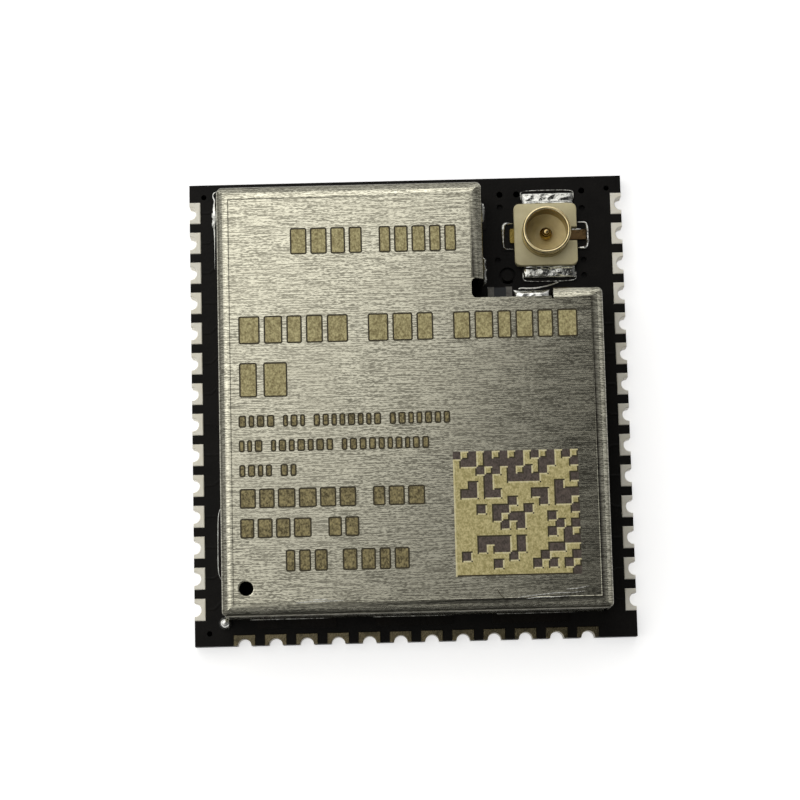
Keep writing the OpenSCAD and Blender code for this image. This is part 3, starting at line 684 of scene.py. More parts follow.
def canWalls(shape, corners, facing, wallTop):
    # a wall between each pair of corners, and a rounded post at each corner beyond a slit; the second result
    # is the foot line of each wall as (start, end, outward)
    sheet, soft, r, foot = shape["sheet"], shape["footSoft"], shape["cornerRadius"], boardTop
    section = np.array([(0, wallTop), (0, foot + soft), (-soft, foot),
                        (soft - sheet, foot), (-sheet, foot + soft), (-sheet, wallTop)])
    sheetStart = shape["bendReach"] * 0.6
    parts, runs = [], []
    for k, out in enumerate(facing):
        start, end = corners[k], corners[k + 1]
        ahead = (end - start) / np.linalg.norm(end - start)
        start = start + ahead * (r if k else 0)
        end = end - ahead * (r if k < len(facing) - 1 else 0)
        runs.append((start, end, out))
        slit = shape["slit"] if k else 0
        parts.append(carryProfile(section, [start + ahead * slit, end], [out, out], sheetStart))
        if k < len(facing) - 1:
            a = np.linspace(0, np.pi / 2, 9)[:, None]
            outward = out * np.cos(a) + facing[k + 1] * np.sin(a)
            centre = corners[k + 1] - (out + facing[k + 1]) * r
            parts.append(carryProfile(section, centre + outward * r, outward, sheetStart))
    return parts, runs


def canFlat(shape, x0, x1, y0, y1, top):
    # the flat top, inside the bends, with the open edge, the rounded relief and the vent's soft rim
    bend, sheet = shape["bendReach"], shape["sheet"]
    sideX, sideY = x1 - shape["notchWide"], y1 - shape["notchLong"]
    left, right, low, high = x0 + bend, x1 - bend, y0 + bend, y1 - bend
    lobe, ledge, openY = sideX - bend, sideY - bend, sideY - shape["openEdgeSet"]
    rr, cr, reliefTop = shape["reliefRadius"], shape["openCorner"], sideY + shape["reliefReach"]
    stripEnd = x1 - shape["flapLong"] - shape["slit"]
    outline = np.concatenate([
        [(left, low), (right, low), (right, ledge), (stripEnd, ledge)],
        arc((stripEnd - cr, openY - cr), cr, 0, 90), arc((lobe + rr, openY + rr), rr, 270, 180),
        arc((lobe + rr, reliefTop - rr), rr, 180, 90), [(lobe, reliefTop), (lobe, high), (left, high)]])
    middle, hole, soft = np.array([x0, y0]) + shape["ventInset"], shape["ventWide"] / 2, shape["ventSoft"]
    rim = list(arc((hole + soft, -soft), soft, 90, 180, 6)) + [(hole, -sheet), (hole + soft, -sheet)]
    # the rim has other steps than the sheet's hole, so that they don't weld and the top's normals stay level
    flat = flatSheet([outline, circle(middle, hole + soft, 64)], top - sheet, top)
    return [flat, revolve(rim, middle, top, 63)]


def paintedBendShades(shape, x0, x1, y0, y1, top):
    # the painted shade of each point: d is the smallest distance inward from a wall, whose side picks the row
    # of shades, and the shade is read along d; the flat top has none, and the wall has its own
    bend, away = shape["bendReach"], 9
    sideX, sideY = x1 - shape["notchWide"], y1 - shape["notchLong"]
    openY, reliefTop = sideY - shape["openEdgeSet"], sideY + shape["reliefReach"]
    stripEnd = x1 - shape["flapLong"] - shape["slit"]
    steepSpan, gentleSpan = shape["steepSpan"], shape["gentleSpan"]
    rows = np.array([shape["paintedShades"][side] for side in ("west", "south", "east", "north")])

    def shadeAt(points):
        x, y, z = points.T
        toLobe = np.where(y > sideY - bend, sideX - x, away)
        toLedge = np.where(x > sideX - bend, sideY - y, away)
        gaps = np.stack([x - x0, y - y0, np.minimum(x1 - x, np.where(y > sideY, toLobe, away)),
                         np.minimum(y1 - y, np.where(x > sideX, toLedge, away))])
        d = gaps.min(0)
        crease, ridge, steep, edge, wall = rows[gaps.argmin(0)].T
        shade = np.where(d < shape["ridgeAt"], np.interp(d, steepSpan, [1, 0]) * (steep - ridge) + ridge,
                         np.interp(d, gentleSpan, [0, 1]) * (crease - ridge) + ridge)
        relief = (y > openY - 0.1) & (y < reliefTop - 0.01) & (x < stripEnd + 0.01)
        flat = (top - z < 0.0005) & ((d < shape["creaseFrom"]) | relief)
        shade = np.where((d > bend - 0.005) | flat, 0, shade)
        shade = np.where((d < shape["edgeTo"]) & ~flat, edge, shade)
        return np.where(top - z > shape["wallBelow"], wall, shade)

    return shadeAt


def buildCan(shape, look):
    # the mitred bend, the walls and the flat top make one piece; the result is each wall's foot line, the
    # height of the flat top and the place of the notch's long side
    x0, y0 = canLow[0], canLow[1] + shape["southIn"]
    x1, y1 = canHigh[:2]
    top, bend = canHigh[2] - shape["markHigh"], shape["bendReach"]
    corners, facing = canCorners(shape, x0, x1, y0, y1)
    material = brushedFinish(look)
    section, wallTop = bendSection(shape, top)
    walls, runs = canWalls(shape, corners, facing, wallTop)
    parts = [carryMitred(section, corners, facing, shape["cornerRadius"])] + walls
    parts += canFlat(shape, x0, x1, y0, y1, top)
    # the far end's bend is a little longer
    for points, *_ in parts:
        points[:, 1] += shape["northOut"] * np.clip((points[:, 1] - y1 + bend) / bend, 0, 1)
    shade = paintedBendShades(shape, x0, x1, y0, y1, top)
    makePiece("shieldCan", parts, material, ["shield_can"], shade=shade)
    return runs, top, corners[0][1]


canRuns, canTop, notchY = buildCan(canShape, canLook)
print("shield can made")


# etched marks on the can: plain blocks in rows
markShape = dict(
    edge=0.065, radius=0.09, sunk=0.02, denseBelow=0.95, wordGap=0.9,
    # each row: left end, lower edge, height, block width, gap, and the number of blocks in each group
    rows=[
        (-4.75, 6.05, 1.1, 0.60, 0.14, (4, 5)),
        (-6.9, 2.4, 1.15, 0.71, 0.16, (5, 3, 6)),
        (-6.9, 0.22, 1.42, 0.9, 0.25, (2,)),
        (-6.95, -1.0, 0.5, 0.27, 0.09, (4, 3, 8, 7)),
        (-6.95, -2.0, 0.5, 0.27, 0.09, (3, 7, 10)),
        (-6.95, -3.0, 0.5, 0.27, 0.09, (4, 2)),
        (-6.95, -4.27, 0.8, 0.60, 0.12, (6, 3)),
        (-6.95, -5.47, 0.8, 0.60, 0.12, (4, 2)),
        (-5.15, -6.83, 0.88, 0.50, 0.14, (3, 4)),
    ],
    widthSpread=0.22, rowSeed=5,
    codeAt=(1.62, -7.2), codeCell=0.314, codeCells=16, codeSeed=21, codeFilled=0.66, codeEdge=0.06)
markLook = dict(
    fill=(0.64, 0.57, 0.29), fillDark=(0.27, 0.22, 0.095),
    dense=(0.43, 0.36, 0.17), denseDark=(0.095, 0.075, 0.03),
    # rim is the colour of the painted highlight on the upper and left edges of the code's blocks
    code=(0.76, 0.665, 0.33), codeDark=(0.42, 0.36, 0.14), rim=(0.93, 0.86, 0.55), edge=(0.05, 0.04, 0.018),
    ground=(0.16, 0.125, 0.105), groundDark=(0.07, 0.055, 0.045),
    hatchPerMm=11.0, hatchLength=0.4, grainsPerMm=7.0, depth=0.006)


def etched(look, name, light, dark, roughness=0.5):
    # laser etching: fine hatch lines and burnt clouds in the colour, a little rougher than the sheet
    material, tree, shader = startMaterial(name, {"Metallic": 0.15, "Specular IOR Level": 0.4})
    vector = inMillimetres(tree)
    hatch = {"Lines per mm": look["hatchPerMm"], "Line length": look["hatchLength"]}
    lines = useGroup(tree, streaks, vector, hatch)
    rough = useGroup(tree, grain, vector, {"Grains per mm": look["grainsPerMm"]})
    mixed = halfEach(tree, lines.outputs["Short"], rough.outputs["Grain"])
    colour = blendColours(tree, spread(tree, mixed, 0.38, 0.62), look[dark], look[light])
    join(tree, (colour, shader.inputs["Base Color"]),
         (spread(tree, mixed, 0.3, 0.7, roughness + 0.08, roughness - 0.08), shader.inputs["Roughness"]))
    addBump(tree, shader, mixed, look["depth"])
    return material


def buildMarks(shape, look):
    # rows of rounded blocks, each a filled middle inside a dark edge: a burnt outline that is also painted
    # shadow
    low, high, inset = canTop - shape["sunk"], canHigh[2], shape["edge"]
    fills, dense, edges = [], [], []
    rng = np.random.default_rng(shape["rowSeed"])
    for left, bottom, tall, usual, gap, words in shape["rows"]:
        x = left
        for count in words:
            for wide in usual * rng.uniform(1 - shape["widthSpread"], 1 + shape["widthSpread"], count):
                outer = roundedLoop(box2d((x, bottom), (x + wide, bottom + tall)), shape["radius"], 4)
                middle = box2d((x + inset, bottom + inset), (x + wide - inset, bottom + tall - inset))
                inner = roundedLoop(middle, shape["radius"] * 0.4, 4)
                edges += [outer, inner]
                (dense if tall < shape["denseBelow"] else fills).append(inner)
                x += wide + gap
            x += usual * shape["wordGap"]
    # the dark edge line: a burnt outline that is also painted shadow
    finishes["burntLine"] = etched(look, "etchedEdgeAndShadow", "edge", "edge")
    fillFinish = etched(look, "etchedFill", "fill", "fillDark")
    makePiece("markFills", [flatSheet(fills, low, high)], fillFinish)
    denseFinish = etched(look, "etchedDense", "dense", "denseDark")
    makePiece("denseFills", [flatSheet(dense, low, high)], denseFinish)
    makePiece("markEdges", [flatSheet(edges, low, high - 0.001)], finishes["burntLine"])


def buildCode(shape, look):
    # the square of cells: random blocks inside a plain frame, each cell split into a middle and its edges;
    # the edges on the upper and left sides carry a painted highlight, the others a dark line of burnt outline
    # and painted shadow
    low, high = canTop - shape["sunk"], canHigh[2]
    n, cell, e = shape["codeCells"], shape["codeCell"], shape["codeEdge"]
    rng = np.random.default_rng(shape["codeSeed"])
    lit = rng.random((n, n)) < shape["codeFilled"]
    lit[0, :] = lit[:, 0] = True
    lit[-1, 1::2] = lit[1::2, -1] = True
    lit[-1, ::2] = lit[::2, -1] = False
    around = np.pad(lit, 1)
    steps = (-1, 0, 1)
    neighbour = {(dx, dy): around[1 + dx:n + 1 + dx, 1 + dy:n + 1 + dy] for dx in steps for dy in steps}
    filled = np.zeros((n, 3, n, 3), bool)
    for i, dx in enumerate(steps):
        for j, dy in enumerate(steps):
            filled[:, i, :, j] = lit & neighbour[(dx, 0)] & neighbour[(0, dy)] & neighbour[(dx, dy)]
    filled = filled.reshape(3 * n, 3 * n)
    whole = lit.repeat(3, 0).repeat(3, 1)
    lines = (np.arange(n)[:, None] * cell + np.array([0, e, cell - e])).ravel()
    xs = np.append(lines, n * cell) + shape["codeAt"][0]
    ys = np.append(lines, n * cell) + shape["codeAt"][1]
    i, j = np.meshgrid(np.arange(3 * n) % 3, np.arange(3 * n) % 3, indexing="ij")
    openAbove, openLeft = (~neighbour[k].repeat(3, 0).repeat(3, 1) for k in ((0, 1), (-1, 0)))
    # the edges that face up or to the left take the painted highlight
    paintedLitSide = ((j == 2) & openAbove) | ((i == 0) & openLeft)
    for name, mask, up, finish in (
            ("codeFills", filled, high, etched(look, "etchedCode", "code", "codeDark")),
            ("codePaintedHighlights", whole & ~filled & paintedLitSide, high, etched(look, "etchedPaintedHighlight", "rim", "code", 0.4)),
            ("codeEdges", whole & ~filled & ~paintedLitSide, high - 0.001, finishes["burntLine"]),
            ("codeGround", ~whole, high - 0.002, etched(look, "etchedGround", "ground", "groundDark", 0.38))):
        makePiece(name, [maskedSheet(xs, ys, mask, low, up)], finish)


buildMarks(markShape, markLook)
buildCode(markShape, markLook)
print("etched marks made")

scuffShape = dict(
    wide=0.016, high=0.0035,
    scratch=[(3.22, -7.68), (3.30, -7.85), (3.42, -8.02), (3.56, -8.13)],
    scuffs=[[(3.9, -8.12), (4.4, -8.03), (5.0, -8.00), (5.6, -7.92), (6.2, -7.96), (6.9, -7.86)],
            [(4.3, -8.15), (4.9, -8.09), (5.5, -8.10), (6.3, -8.05)],
            [(5.9, -7.80), (6.5, -7.78), (7.0, -7.66)],
            [(-4.9, -8.10), (-4.3, -8.05), (-3.6, -8.05), (-2.7, -8.02)], [(-4.2, -7.98), (-3.4, -7.96)]])


def smoothPath(points, steps=60):
    # straight steps between the points, averaged twice over a moving window
    points = np.array(points, float)
    where = np.linspace(0, len(points) - 1, steps)
    window = steps // len(points) // 2 * 2 + 1
    fine = np.stack([np.interp(where, range(len(points)), column) for column in points.T], -1)
    for _ in range(2):
        padded = np.pad(fine, ((window // 2, window // 2), (0, 0)), mode="edge")
        fine = np.stack([np.convolve(column, np.ones(window) / window, "valid") for column in padded.T], -1)
    return fine


def buildScuffs(shape):
    # shallow burrs left by handling: thin ridges that taper as (1 - t^2)^0.5
    def ridge(points):
        path = raised(smoothPath(points), canTop)
        taper = np.sqrt(1.0001 - np.linspace(-1, 1, len(path)) ** 2)
        return carryRound(path, (shape["wide"] * taper, shape["high"] * taper), 8)

    makePiece("canScratch", [ridge(shape["scratch"])], finishes["burntLine"])
    makePiece("canScuffs", [ridge(points) for points in shape["scuffs"]], finishes["solder"])


buildScuffs(scuffShape)


boardShape = dict(
    padPitch=1.27, sidePads=14, endPads=12, firstInset=1.19, barrelOuter=0.315, maskThick=0.15,
    viaWide=0.26, vias=[(-1.85, 1.8), (-1.15, 1.8), (-1.85, 1.25), (1.57, 1.9), (1.57, 1.15), (1.57, -1.05),
                        (1.57, -1.7), (-2.0, -1.0)],
    testSpot=(-1.62, -1.65), testOuter=0.35, testInner=0.23, cornerMark=0.22, cornerInset=(0.6, 0.52))
sideY = boardHigh[1] - boardShape["firstInset"] - np.arange(boardShape["sidePads"]) * boardShape["padPitch"]
endX = (np.arange(boardShape["endPads"]) - (boardShape["endPads"] - 1) / 2) * boardShape["padPitch"]


def buildBoard(shape):
    # the outline has half circles bitten out, one at each pad; the upper layer has pits for the vias, the
    # drill marks and the ring of the test spot
    x0, y0, z0 = boardLow
    x1, y1, z1 = boardHigh
    r = shape["barrelOuter"]
    left = np.stack([np.full(len(sideY), x0), sideY], -1)
    right = np.stack([np.full(len(sideY), x1), sideY], -1)
    end = np.stack([endX, np.full(len(endX), y0)], -1)

    def bites(centres, start, finish):
        # half circles cut into an edge, one at each centre
        a = np.radians(np.linspace(start, finish, 17))
        return (centres[:, None] + r * spokes(a)).reshape(-1, 2)

    outline = np.concatenate([
        [(x0, y1)], bites(left, 90, -90), [(x0, y0)], bites(end, 180, 0),
        [(x1, y0)], bites(right[::-1], 270, 90), [(x1, y1)]])
    spot = jackMiddle + shape["testSpot"]
    holes = [circle(jackMiddle + via, shape["viaWide"] / 2, 24) for via in shape["vias"]]
    holes += [circle(spot, shape["testOuter"], 32), circle(spot, shape["testInner"], 32)]
    insetX, insetY = shape["cornerInset"]
    marks = ((x0 + insetX, y1 - insetY), (x1 - insetX, y1 - insetY), (x0 + insetX, y0 + insetY))
    holes += [circle(place, shape["cornerMark"] / 2, 20) for place in marks]
    mask = shape["maskThick"]
    parts = [flatSheet([outline], z0, z1 - mask), flatSheet([outline] + holes, z1 - mask, z1)]
    makePiece("maskedBoard", parts, finishes["solder_mask"], ["circuit_board"])


buildBoard(boardShape)

padShape = dict(halfWide=0.45, topDeep=0.45, underDeep=0.85, holeRadius=0.275, plating=0.04, soften=0.03)


def castellation(shape):
    # for each angle round the half hole: a closed loop over the top plate, down the barrel and under the
    # bottom plate; a plate's far edge lies where the ray at that angle leaves its rectangle
    w, soft, plating = shape["halfWide"], shape["soften"], shape["plating"]
    special = np.array([math.atan2(shape["topDeep"], w), math.atan2(shape["underDeep"], w)])
    angle = np.concatenate([np.linspace(0, np.pi, 33), special, np.pi - special])
    angle = np.unique(np.round(angle, 9))
    ray = spokes(angle)
    ray[0], ray[-1] = (1, 0), (-1, 0)

    def farEdge(deep):
        return 1 / np.maximum(np.abs(ray[:, 0]) / w, np.maximum(ray[:, 1], 1e-9) / deep)

    top, under = farEdge(shape["topDeep"]), farEdge(shape["underDeep"])
    hole, high = np.full(len(angle), shape["holeRadius"]), boardTop
    rings = [(top, high - plating), (top, high - soft), (top - soft, high), (hole + soft, high),
             (hole, high - soft), (hole, soft), (hole + soft, 0), (under - soft, 0), (under, soft),
             (under, plating), (hole + plating, plating), (hole + plating, high - plating)]
    return loftRings([raised(ray * reach[:, None], z) for reach, z in rings], True, False)


def buildPads(shape):
    # one pad, copied along three edges and turned to face out of each
    pad = castellation(shape)
    x0, y0 = boardLow[:2]
    x1 = boardHigh[0]
    for name, node, places, turn, finish in (
            ("leftEdgePads", "left_edge_pads", [(x0, y) for y in sideY], -90, "sideGoldPaintedLight"),
            ("rightEdgePads", "right_edge_pads", [(x1, y) for y in sideY], 90, "sideGoldPaintedLight"),
            ("endEdgePads", "bottom_edge_pads", [(x, y0) for x in endX], 0, "endGoldPaintedShade")):
        makePiece(name, copies(pad, places, [turn] * len(places)), finishes[finish], [node])


buildPads(padShape)
print("board and pads made")

traceShape = dict(wide=0.13, high=0.012, marginStart=0.5, underWall=0.12, kneeAt=0.35,
                  slants=(-0.9, 0.0, 0.0, 0.7, 1.0), seed=4)


def buildTraces(shape):
    # copper under the mask: low rounded ridges from the pads towards the can, some straight and some slanted
    rng = np.random.default_rng(shape["seed"])
    a = np.radians(np.linspace(0, 180, 7))
    dome = np.stack([np.cos(a) * shape["wide"] / 2, maskTop + np.sin(a) * shape["high"]], -1)
    half, foot = shape["wide"] / 2, maskTop - 0.01
    section = np.concatenate([dome, [(-half, foot), (half, foot)]])
    parts = []
    for side, edge, wall in ((-1, boardLow[0], canLow[0]), (1, boardHigh[0], canHigh[0])):
        for y in sideY:
            slant = rng.choice(shape["slants"])
            start, end = edge - side * shape["marginStart"], wall - side * shape["underWall"]
            knee = start + (end - start) * shape["kneeAt"]
            path = np.array([(start, y), (knee, y), (end, y + slant * abs(end - knee))])
            ahead = unit(np.gradient(path, axis=0))
            outward = np.stack([ahead[:, 1], -ahead[:, 0]], -1)
            if side > 0 and y > notchY:
                continue
            parts.append(carryProfile(section, path, outward))
    makePiece("maskedTraces", parts, finishes["solder_mask"])


buildTraces(traceShape)


jackShape = dict(
    half=1.3, baseHigh=0.35, corner=0.22, soften=0.035, slotHalf=0.29,
    ringOuter=1.0, ringInner=0.84, ringHigh=1.25, ringFoot=0.2,
    grooveDeep=0.03, grooveAt=0.845, grooveHalf=0.07, dishDeep=0.14, dishCurve=1.6,
    contactRadius=0.25, contactHigh=0.9, tipRadius=0.17, shoulder=0.5,
    legThick=0.12, legFrom=0.6, legSoft=0.08, legWide=1.8, legReach=1.75, lugWide=0.6, lugReach=1.48,
    tailFrom=0.1, tailSoft=0.05, tailWide=0.42, tailReach=1.68, ridgeSpan=(1.05, 1.5), ridgeRadius=0.032)


def buildBase(shape):
    # the base: stacked outlines round the open slot, from the slot's one side to its other
    floor, high = boardTop, shape["baseHigh"]
    half, soft, slot = shape["half"], shape["soften"], shape["slotHalf"]

    def rays(size):
        # unit rays all round, but for the slot's width at that distance
        start = math.asin(slot / size)
        return spokes(np.linspace(start, 2 * np.pi - start, 200))

    def square(inset):
        # a ray from the middle leaves the rounded square at the side, or at the corner's arc
        size, r = half - inset, shape["corner"]
        ray = rays(size)
        side = size / np.abs(ray).max(1)
        middle = (size - r) * np.abs(ray).sum(1)
        corner = middle + np.sqrt(np.maximum(middle ** 2 - 2 * (size - r) ** 2 + r ** 2, 0))
        inCorner = (np.abs(ray) * side[:, None]).min(1) > size - r
        return ray * np.where(inCorner, corner, side)[:, None]

    middleRadius = (shape["ringOuter"] + shape["ringInner"]) / 2
    hole = rays(middleRadius) * middleRadius
    stack = [(hole, 0), (square(0), 0), (square(0), high - soft), (square(soft * 0.3), high - soft * 0.3),
             (square(soft), high), (hole, high)]
    rings = [raised(jackMiddle + flat, floor + up) for flat, up in stack]
    makePiece("receptacleBase", [loftRings(rings, True, False)], finishes["receptacle_plastic"],
              ["receptacle_base"])

    # the dish inside the ring: its height falls by depth * (1 - t^1.6) from the ring to the contact
    inner, dish, r = shape["ringInner"] + 0.02, shape["dishDeep"], shape["contactRadius"]
    t = np.linspace(0.95, 0, 12)
    slope = np.stack([r + dish + (inner - r - dish) * t, high - dish + dish * t ** shape["dishCurve"]], -1)
    bowl = [(inner, 0), (inner, high), (shape["ringInner"], high), *slope,
            (r - 0.02, high - dish), (r - 0.02, 0)]
    makePiece("receptacleDish", [revolve(bowl, jackMiddle, floor)], finishes["dishPaintedShade"])


def buildRing(shape):
    # the ring is a tube with a rounded rim and a half-round snap groove; its legs are flat plates
    floor, outer, inner, top = boardTop, shape["ringOuter"], shape["ringInner"], shape["ringHigh"]
    rim, foot = (outer - inner) / 2, shape["ringFoot"]
    t = np.radians(np.linspace(-90, 90, 9))
    deep, up = shape["grooveDeep"] * np.cos(t), shape["grooveHalf"] * np.sin(t)
    groove = np.stack([outer - deep, shape["grooveAt"] + up], -1)
    profile = [(outer, foot), *groove, (outer, top - rim), (inner, top - rim), (inner, foot)]
    cap = arc((outer - rim, top - rim), rim, -20, 200, 16)
    makePiece("receptacleRim", [revolve(cap, jackMiddle, floor)], finishes["receptacle_gold"])
    legs = []
    leg, lug = (shape["legWide"], shape["legReach"]), (shape["lugWide"], shape["lugReach"])
    for turn, (wide, reach) in ((90, leg), (-90, leg), (180, lug)):
        outline = roundedLoop(box2d((shape["legFrom"], -wide / 2), (reach, wide / 2)), shape["legSoft"])
        legs += copies(flatSheet([outline], floor, floor + shape["legThick"]), [jackMiddle], [turn])
    makePiece("receptacleShell", [revolve(profile, jackMiddle, floor)] + legs,
              finishes["ringGoldPaintedShade"], ["receptacle_shell"])


def buildContact(shape):
    # a shouldered post with a domed tip, its flat tail in the slot, and the solder's ridge along the tail
    floor, half, thick = boardTop, shape["tailWide"] / 2, shape["legThick"]
    r, tip = shape["contactRadius"], shape["contactHigh"]
    dome, shoulder = shape["tipRadius"], shape["shoulder"]
    post = [(0, 0), (r, 0), (r, shoulder - 0.06), (dome, shoulder), *arc((0, tip - dome), dome, 0, 90)]
    makePiece("receptacleContact", [revolve(post, jackMiddle, floor, 64)], finishes["tipGold"],
              ["receptacle_contact"])
    outline = roundedLoop(box2d((shape["tailFrom"], -half), (shape["tailReach"], half)), shape["tailSoft"])
    tail = flatSheet([outline], floor, floor + thick)
    makePiece("contactTail", copies(tail, [jackMiddle], [0]), finishes["tailPaintedShade"])
    ridge = carryRound([(x, half + 0.01, floor + thick) for x in np.linspace(*shape["ridgeSpan"], 12)],
                       (shape["ridgeRadius"], shape["ridgeRadius"]))
    makePiece("tailRidge", copies(ridge, [jackMiddle], [0]), finishes["solderPaintedHighlight"])


buildBase(jackShape)
buildRing(jackShape)
buildContact(jackShape)
print("receptacle made")


solderShape = dict(
    wideShift=0.12, wideHalf=1.1, wideFrom=1.30, wideTo=1.80, wideRim=1.93, rimFrom=1.5, rimKnee=1.75,
    heights=(0.26, 0.22, 0.18, 0.175, 0.175, 0.165, 0.155, 0.145),
    lugFrom=1.28, lugKnee=1.55, lugHalf=0.58, lugTo=1.8, beadRadius=0.036, lip=0.015,
    # along each bead, from the side nearer +Y on the right and the side nearer -Y on the left: its thickness
    beads=[(0, (0.5, 1.0, 1.3, 1.5, 1.8, 0.7)), (180, (0.4, 0.7, 1.2, 2.1, 1.7, 0.8))],
    # solder at the foot of each wall: how far out and how high it reaches
    fillets=[(0.16, 0.25), (0.10, 0.3), (0.02, 0.06), (0.07, 0.3), (0.12, 0.3), (0.20, 0.3)],
    # the strips of that solder, as shares of the wall's length: (start, length)
    strips=[[(0, 1)], [(0.09, 0.26), (0.58, 0.2)], [(0.07, 0.22), (0.4, 0.22), (0.73, 0.22)],
            [(0.10, 0.18), (0.46, 0.15), (0.9, 0.095)], [(0.06, 0.27), (0.6, 0.27)],
            [(0.02, 0.24), (0.64, 0.33)]],
    # thin beads on the board as (x, y, radius): round the far left corner, along the left and right walls,
    # and the loose whisker
    runs=[[(-7.80, 9.30, 0.02), (-7.96, 9.27, 0.04), (-8.03, 9.14, 0.035), (-7.99, 9.0, 0.03),
           (-7.93, 8.9, 0.05), (-7.97, 8.78, 0.03), (-7.97, 8.6, 0.06), (-7.97, 8.45, 0.10),
           (-7.97, 8.15, 0.105), (-7.99, 7.97, 0.08), (-8.01, 7.82, 0.06), (-7.97, 7.68, 0.04),
           (-7.97, 7.40, 0.015), (-7.98, 5.6, 0.008)],
          [(-7.84, -3.9, 0.012), (-7.97, -4.15, 0.018), (-8.00, -4.6, 0.016), (-8.01, -5.6, 0.010),
           (-8.02, -6.2, 0.018), (-8.0, -6.7, 0.014), (-7.86, -6.95, 0.008)],
          [(7.98, -3.9, 0.02), (8.02, -4.3, 0.03), (8.02, -4.9, 0.015)]],
    cornerDrop=(-7.74, -8.68, 0.27, 0.55),
    pool=(0.12, 0.16, 0.15, 0.08), poolFrom=(1.42, 0.2), poolTo=(0.06, 0.32),
    whisker=[(4.55, 4.86, 0.06), (4.75, 4.90, 0.07), (5.0, 4.86, 0.12), (5.4, 4.87, 0.16), (5.8, 4.94, 0.18),
             (6.1, 5.03, 0.14), (6.32, 5.13, 0.08)])


def solderPillow(low, high, heights, seed, floor, lumps=0.035, square=(8, 12), rows=36, columns=56):
    # over a rectangle: height(u, v) = (the heights read along v + lumps) * ((1 - |u|^a) * (1 - |v|^b))^0.5,
    # where a and b are the squareness and the lumps are a wobble with creases; its sides close to the floor
    u, v = np.meshgrid(np.linspace(-1, 1, columns), np.linspace(-1, 1, rows), indexing="ij")
    x = low[0] + (u + 1) / 2 * (high[0] - low[0])
    y = low[1] + (v + 1) / 2 * (high[1] - low[1])
    slope = np.interp(v, np.linspace(-1, 1, len(heights)), heights)
    edge = np.sqrt(np.clip(1 - np.abs(u) ** square[0], 0, 1) * np.clip(1 - np.abs(v) ** square[1], 0, 1))
    creased = wobble(x * 1.3, y * 1.6, seed, 6) + 1.2 * (0.3 - np.abs(wobble(x * 1.1, y * 1.9, seed + 50, 5)))
    z = floor + edge * np.maximum(slope + lumps * creased, 0.02)
    z = np.maximum(z, floor + 0.01 * (edge > 0))
    upper = np.stack([x, y, z], -1)
    lower = np.stack([x, y, np.full_like(x, floor - 0.005)], -1)
    count = rows * columns
    cells = gridCells(columns, rows)
    faces = [tuple(c) for c in cells] + [tuple(c + count) for c in cells[:, ::-1]]
    number = np.arange(count).reshape(columns, rows)
    rim = np.concatenate([number[0], number[1:, -1], number[-1, -2::-1], number[-2:0:-1, 0]])
    following = np.roll(rim, -1)
    faces += [tuple(c) for c in np.stack([rim, following, following + count, rim + count], -1)]
    return np.concatenate([upper.reshape(-1, 3), lower.reshape(-1, 3)]), faces, None


def filletRun(start, end, outward, shape, seed, out, high):
    # hollow quarter section against the wall; its size along the run swells by 1 - |s|^6 and a slow wobble
    start, end, outward = np.array(start), np.array(end), np.array(outward, float)
    length = np.linalg.norm(end - start)
    s = np.linspace(-1, 1, max(12, int(length * 10)))
    size = np.clip(1 - np.abs(s) ** 6, 0.02, 1) ** 0.5 * (1 + 0.22 * wobble(s * length * 0.7, s * 0, seed))
    a = np.radians(np.linspace(0, 90, 9))
    lip = shape["lip"]
    curve = np.stack([out - (out - lip) * np.sin(a), high - (high - lip) * np.cos(a)], -1)
    section = np.concatenate([[(-0.01, 0), (out, 0)], curve, [(-0.01, high)]])
    along = start + (end - start) * ((s + 1) / 2)[:, None]
    flat = along[:, None] + outward * (section[None, :, :1] * size[:, None, None])
    z = boardTop + section[None, :, 1:] * size[:, None, None]
    rings = np.concatenate([flat, np.broadcast_to(z, flat.shape[:2] + (1,))], -1)
    return loftRings(rings)


def boardBead(path, radius, taller):
    # a bead on the board whose height is a little more than its width
    return carryRound(raised(path[:, :2], boardTop + 0.01), (radius, radius * taller))


def jackSolder(shape):
    # wide banks on both sides of the base, drawn towards +Y and turned, and a thin bead round each
    half, near, knee, out = shape["wideHalf"], shape["rimFrom"], shape["rimKnee"], shape["wideRim"]
    shifted, parts, beads = jackMiddle + [shape["wideShift"], 0], [], []
    for seed, turn in ((3, 0), (8, 180)):
        low, high = (-half, shape["wideFrom"]), (half, shape["wideTo"])
        parts += copies(solderPillow(low, high, shape["heights"], seed, boardTop), [shifted], [turn])
    rim = smoothPath([(-half, near, 0.03), (-half, knee, 0.03), (-half, out, 0.024), (0, out + 0.01, 0.014),
                      (half, out, 0.022), (half, knee, 0.03), (half, near, 0.03)], 90)
    for turn in (0, 180):
        parts += copies(boardBead(rim, rim[:, 2], 1.4), [shifted], [turn])
    # on the narrow lands: a bead round the land's edge
    near, knee, far, half = shape["lugFrom"], shape["lugKnee"], shape["lugTo"] - 0.04, shape["lugHalf"] - 0.04
    corners = [(near, half), (knee, half), (far, half), (far, 0), (far, -half), (knee, -half), (near, -half)]
    for turn, thick in shape["beads"]:
        path = smoothPath(corners, 70)
        share = np.linspace(0, 1, len(path))
        swell = shape["beadRadius"] * np.interp(share, np.linspace(0, 1, len(thick)), thick)
        swell = swell * (1 + 0.3 * wobble(path[:, 0] * 1.9, path[:, 1] * 2.1, 17 + turn, 5))
        beads += copies(boardBead(path, swell, 1.3), [jackMiddle], [turn])
    makePiece("landBeads", beads, finishes["solderPaintedHighlight"])
    makePiece("receptacleSolder", parts, finishes["solder"], ["receptacle_solder"])


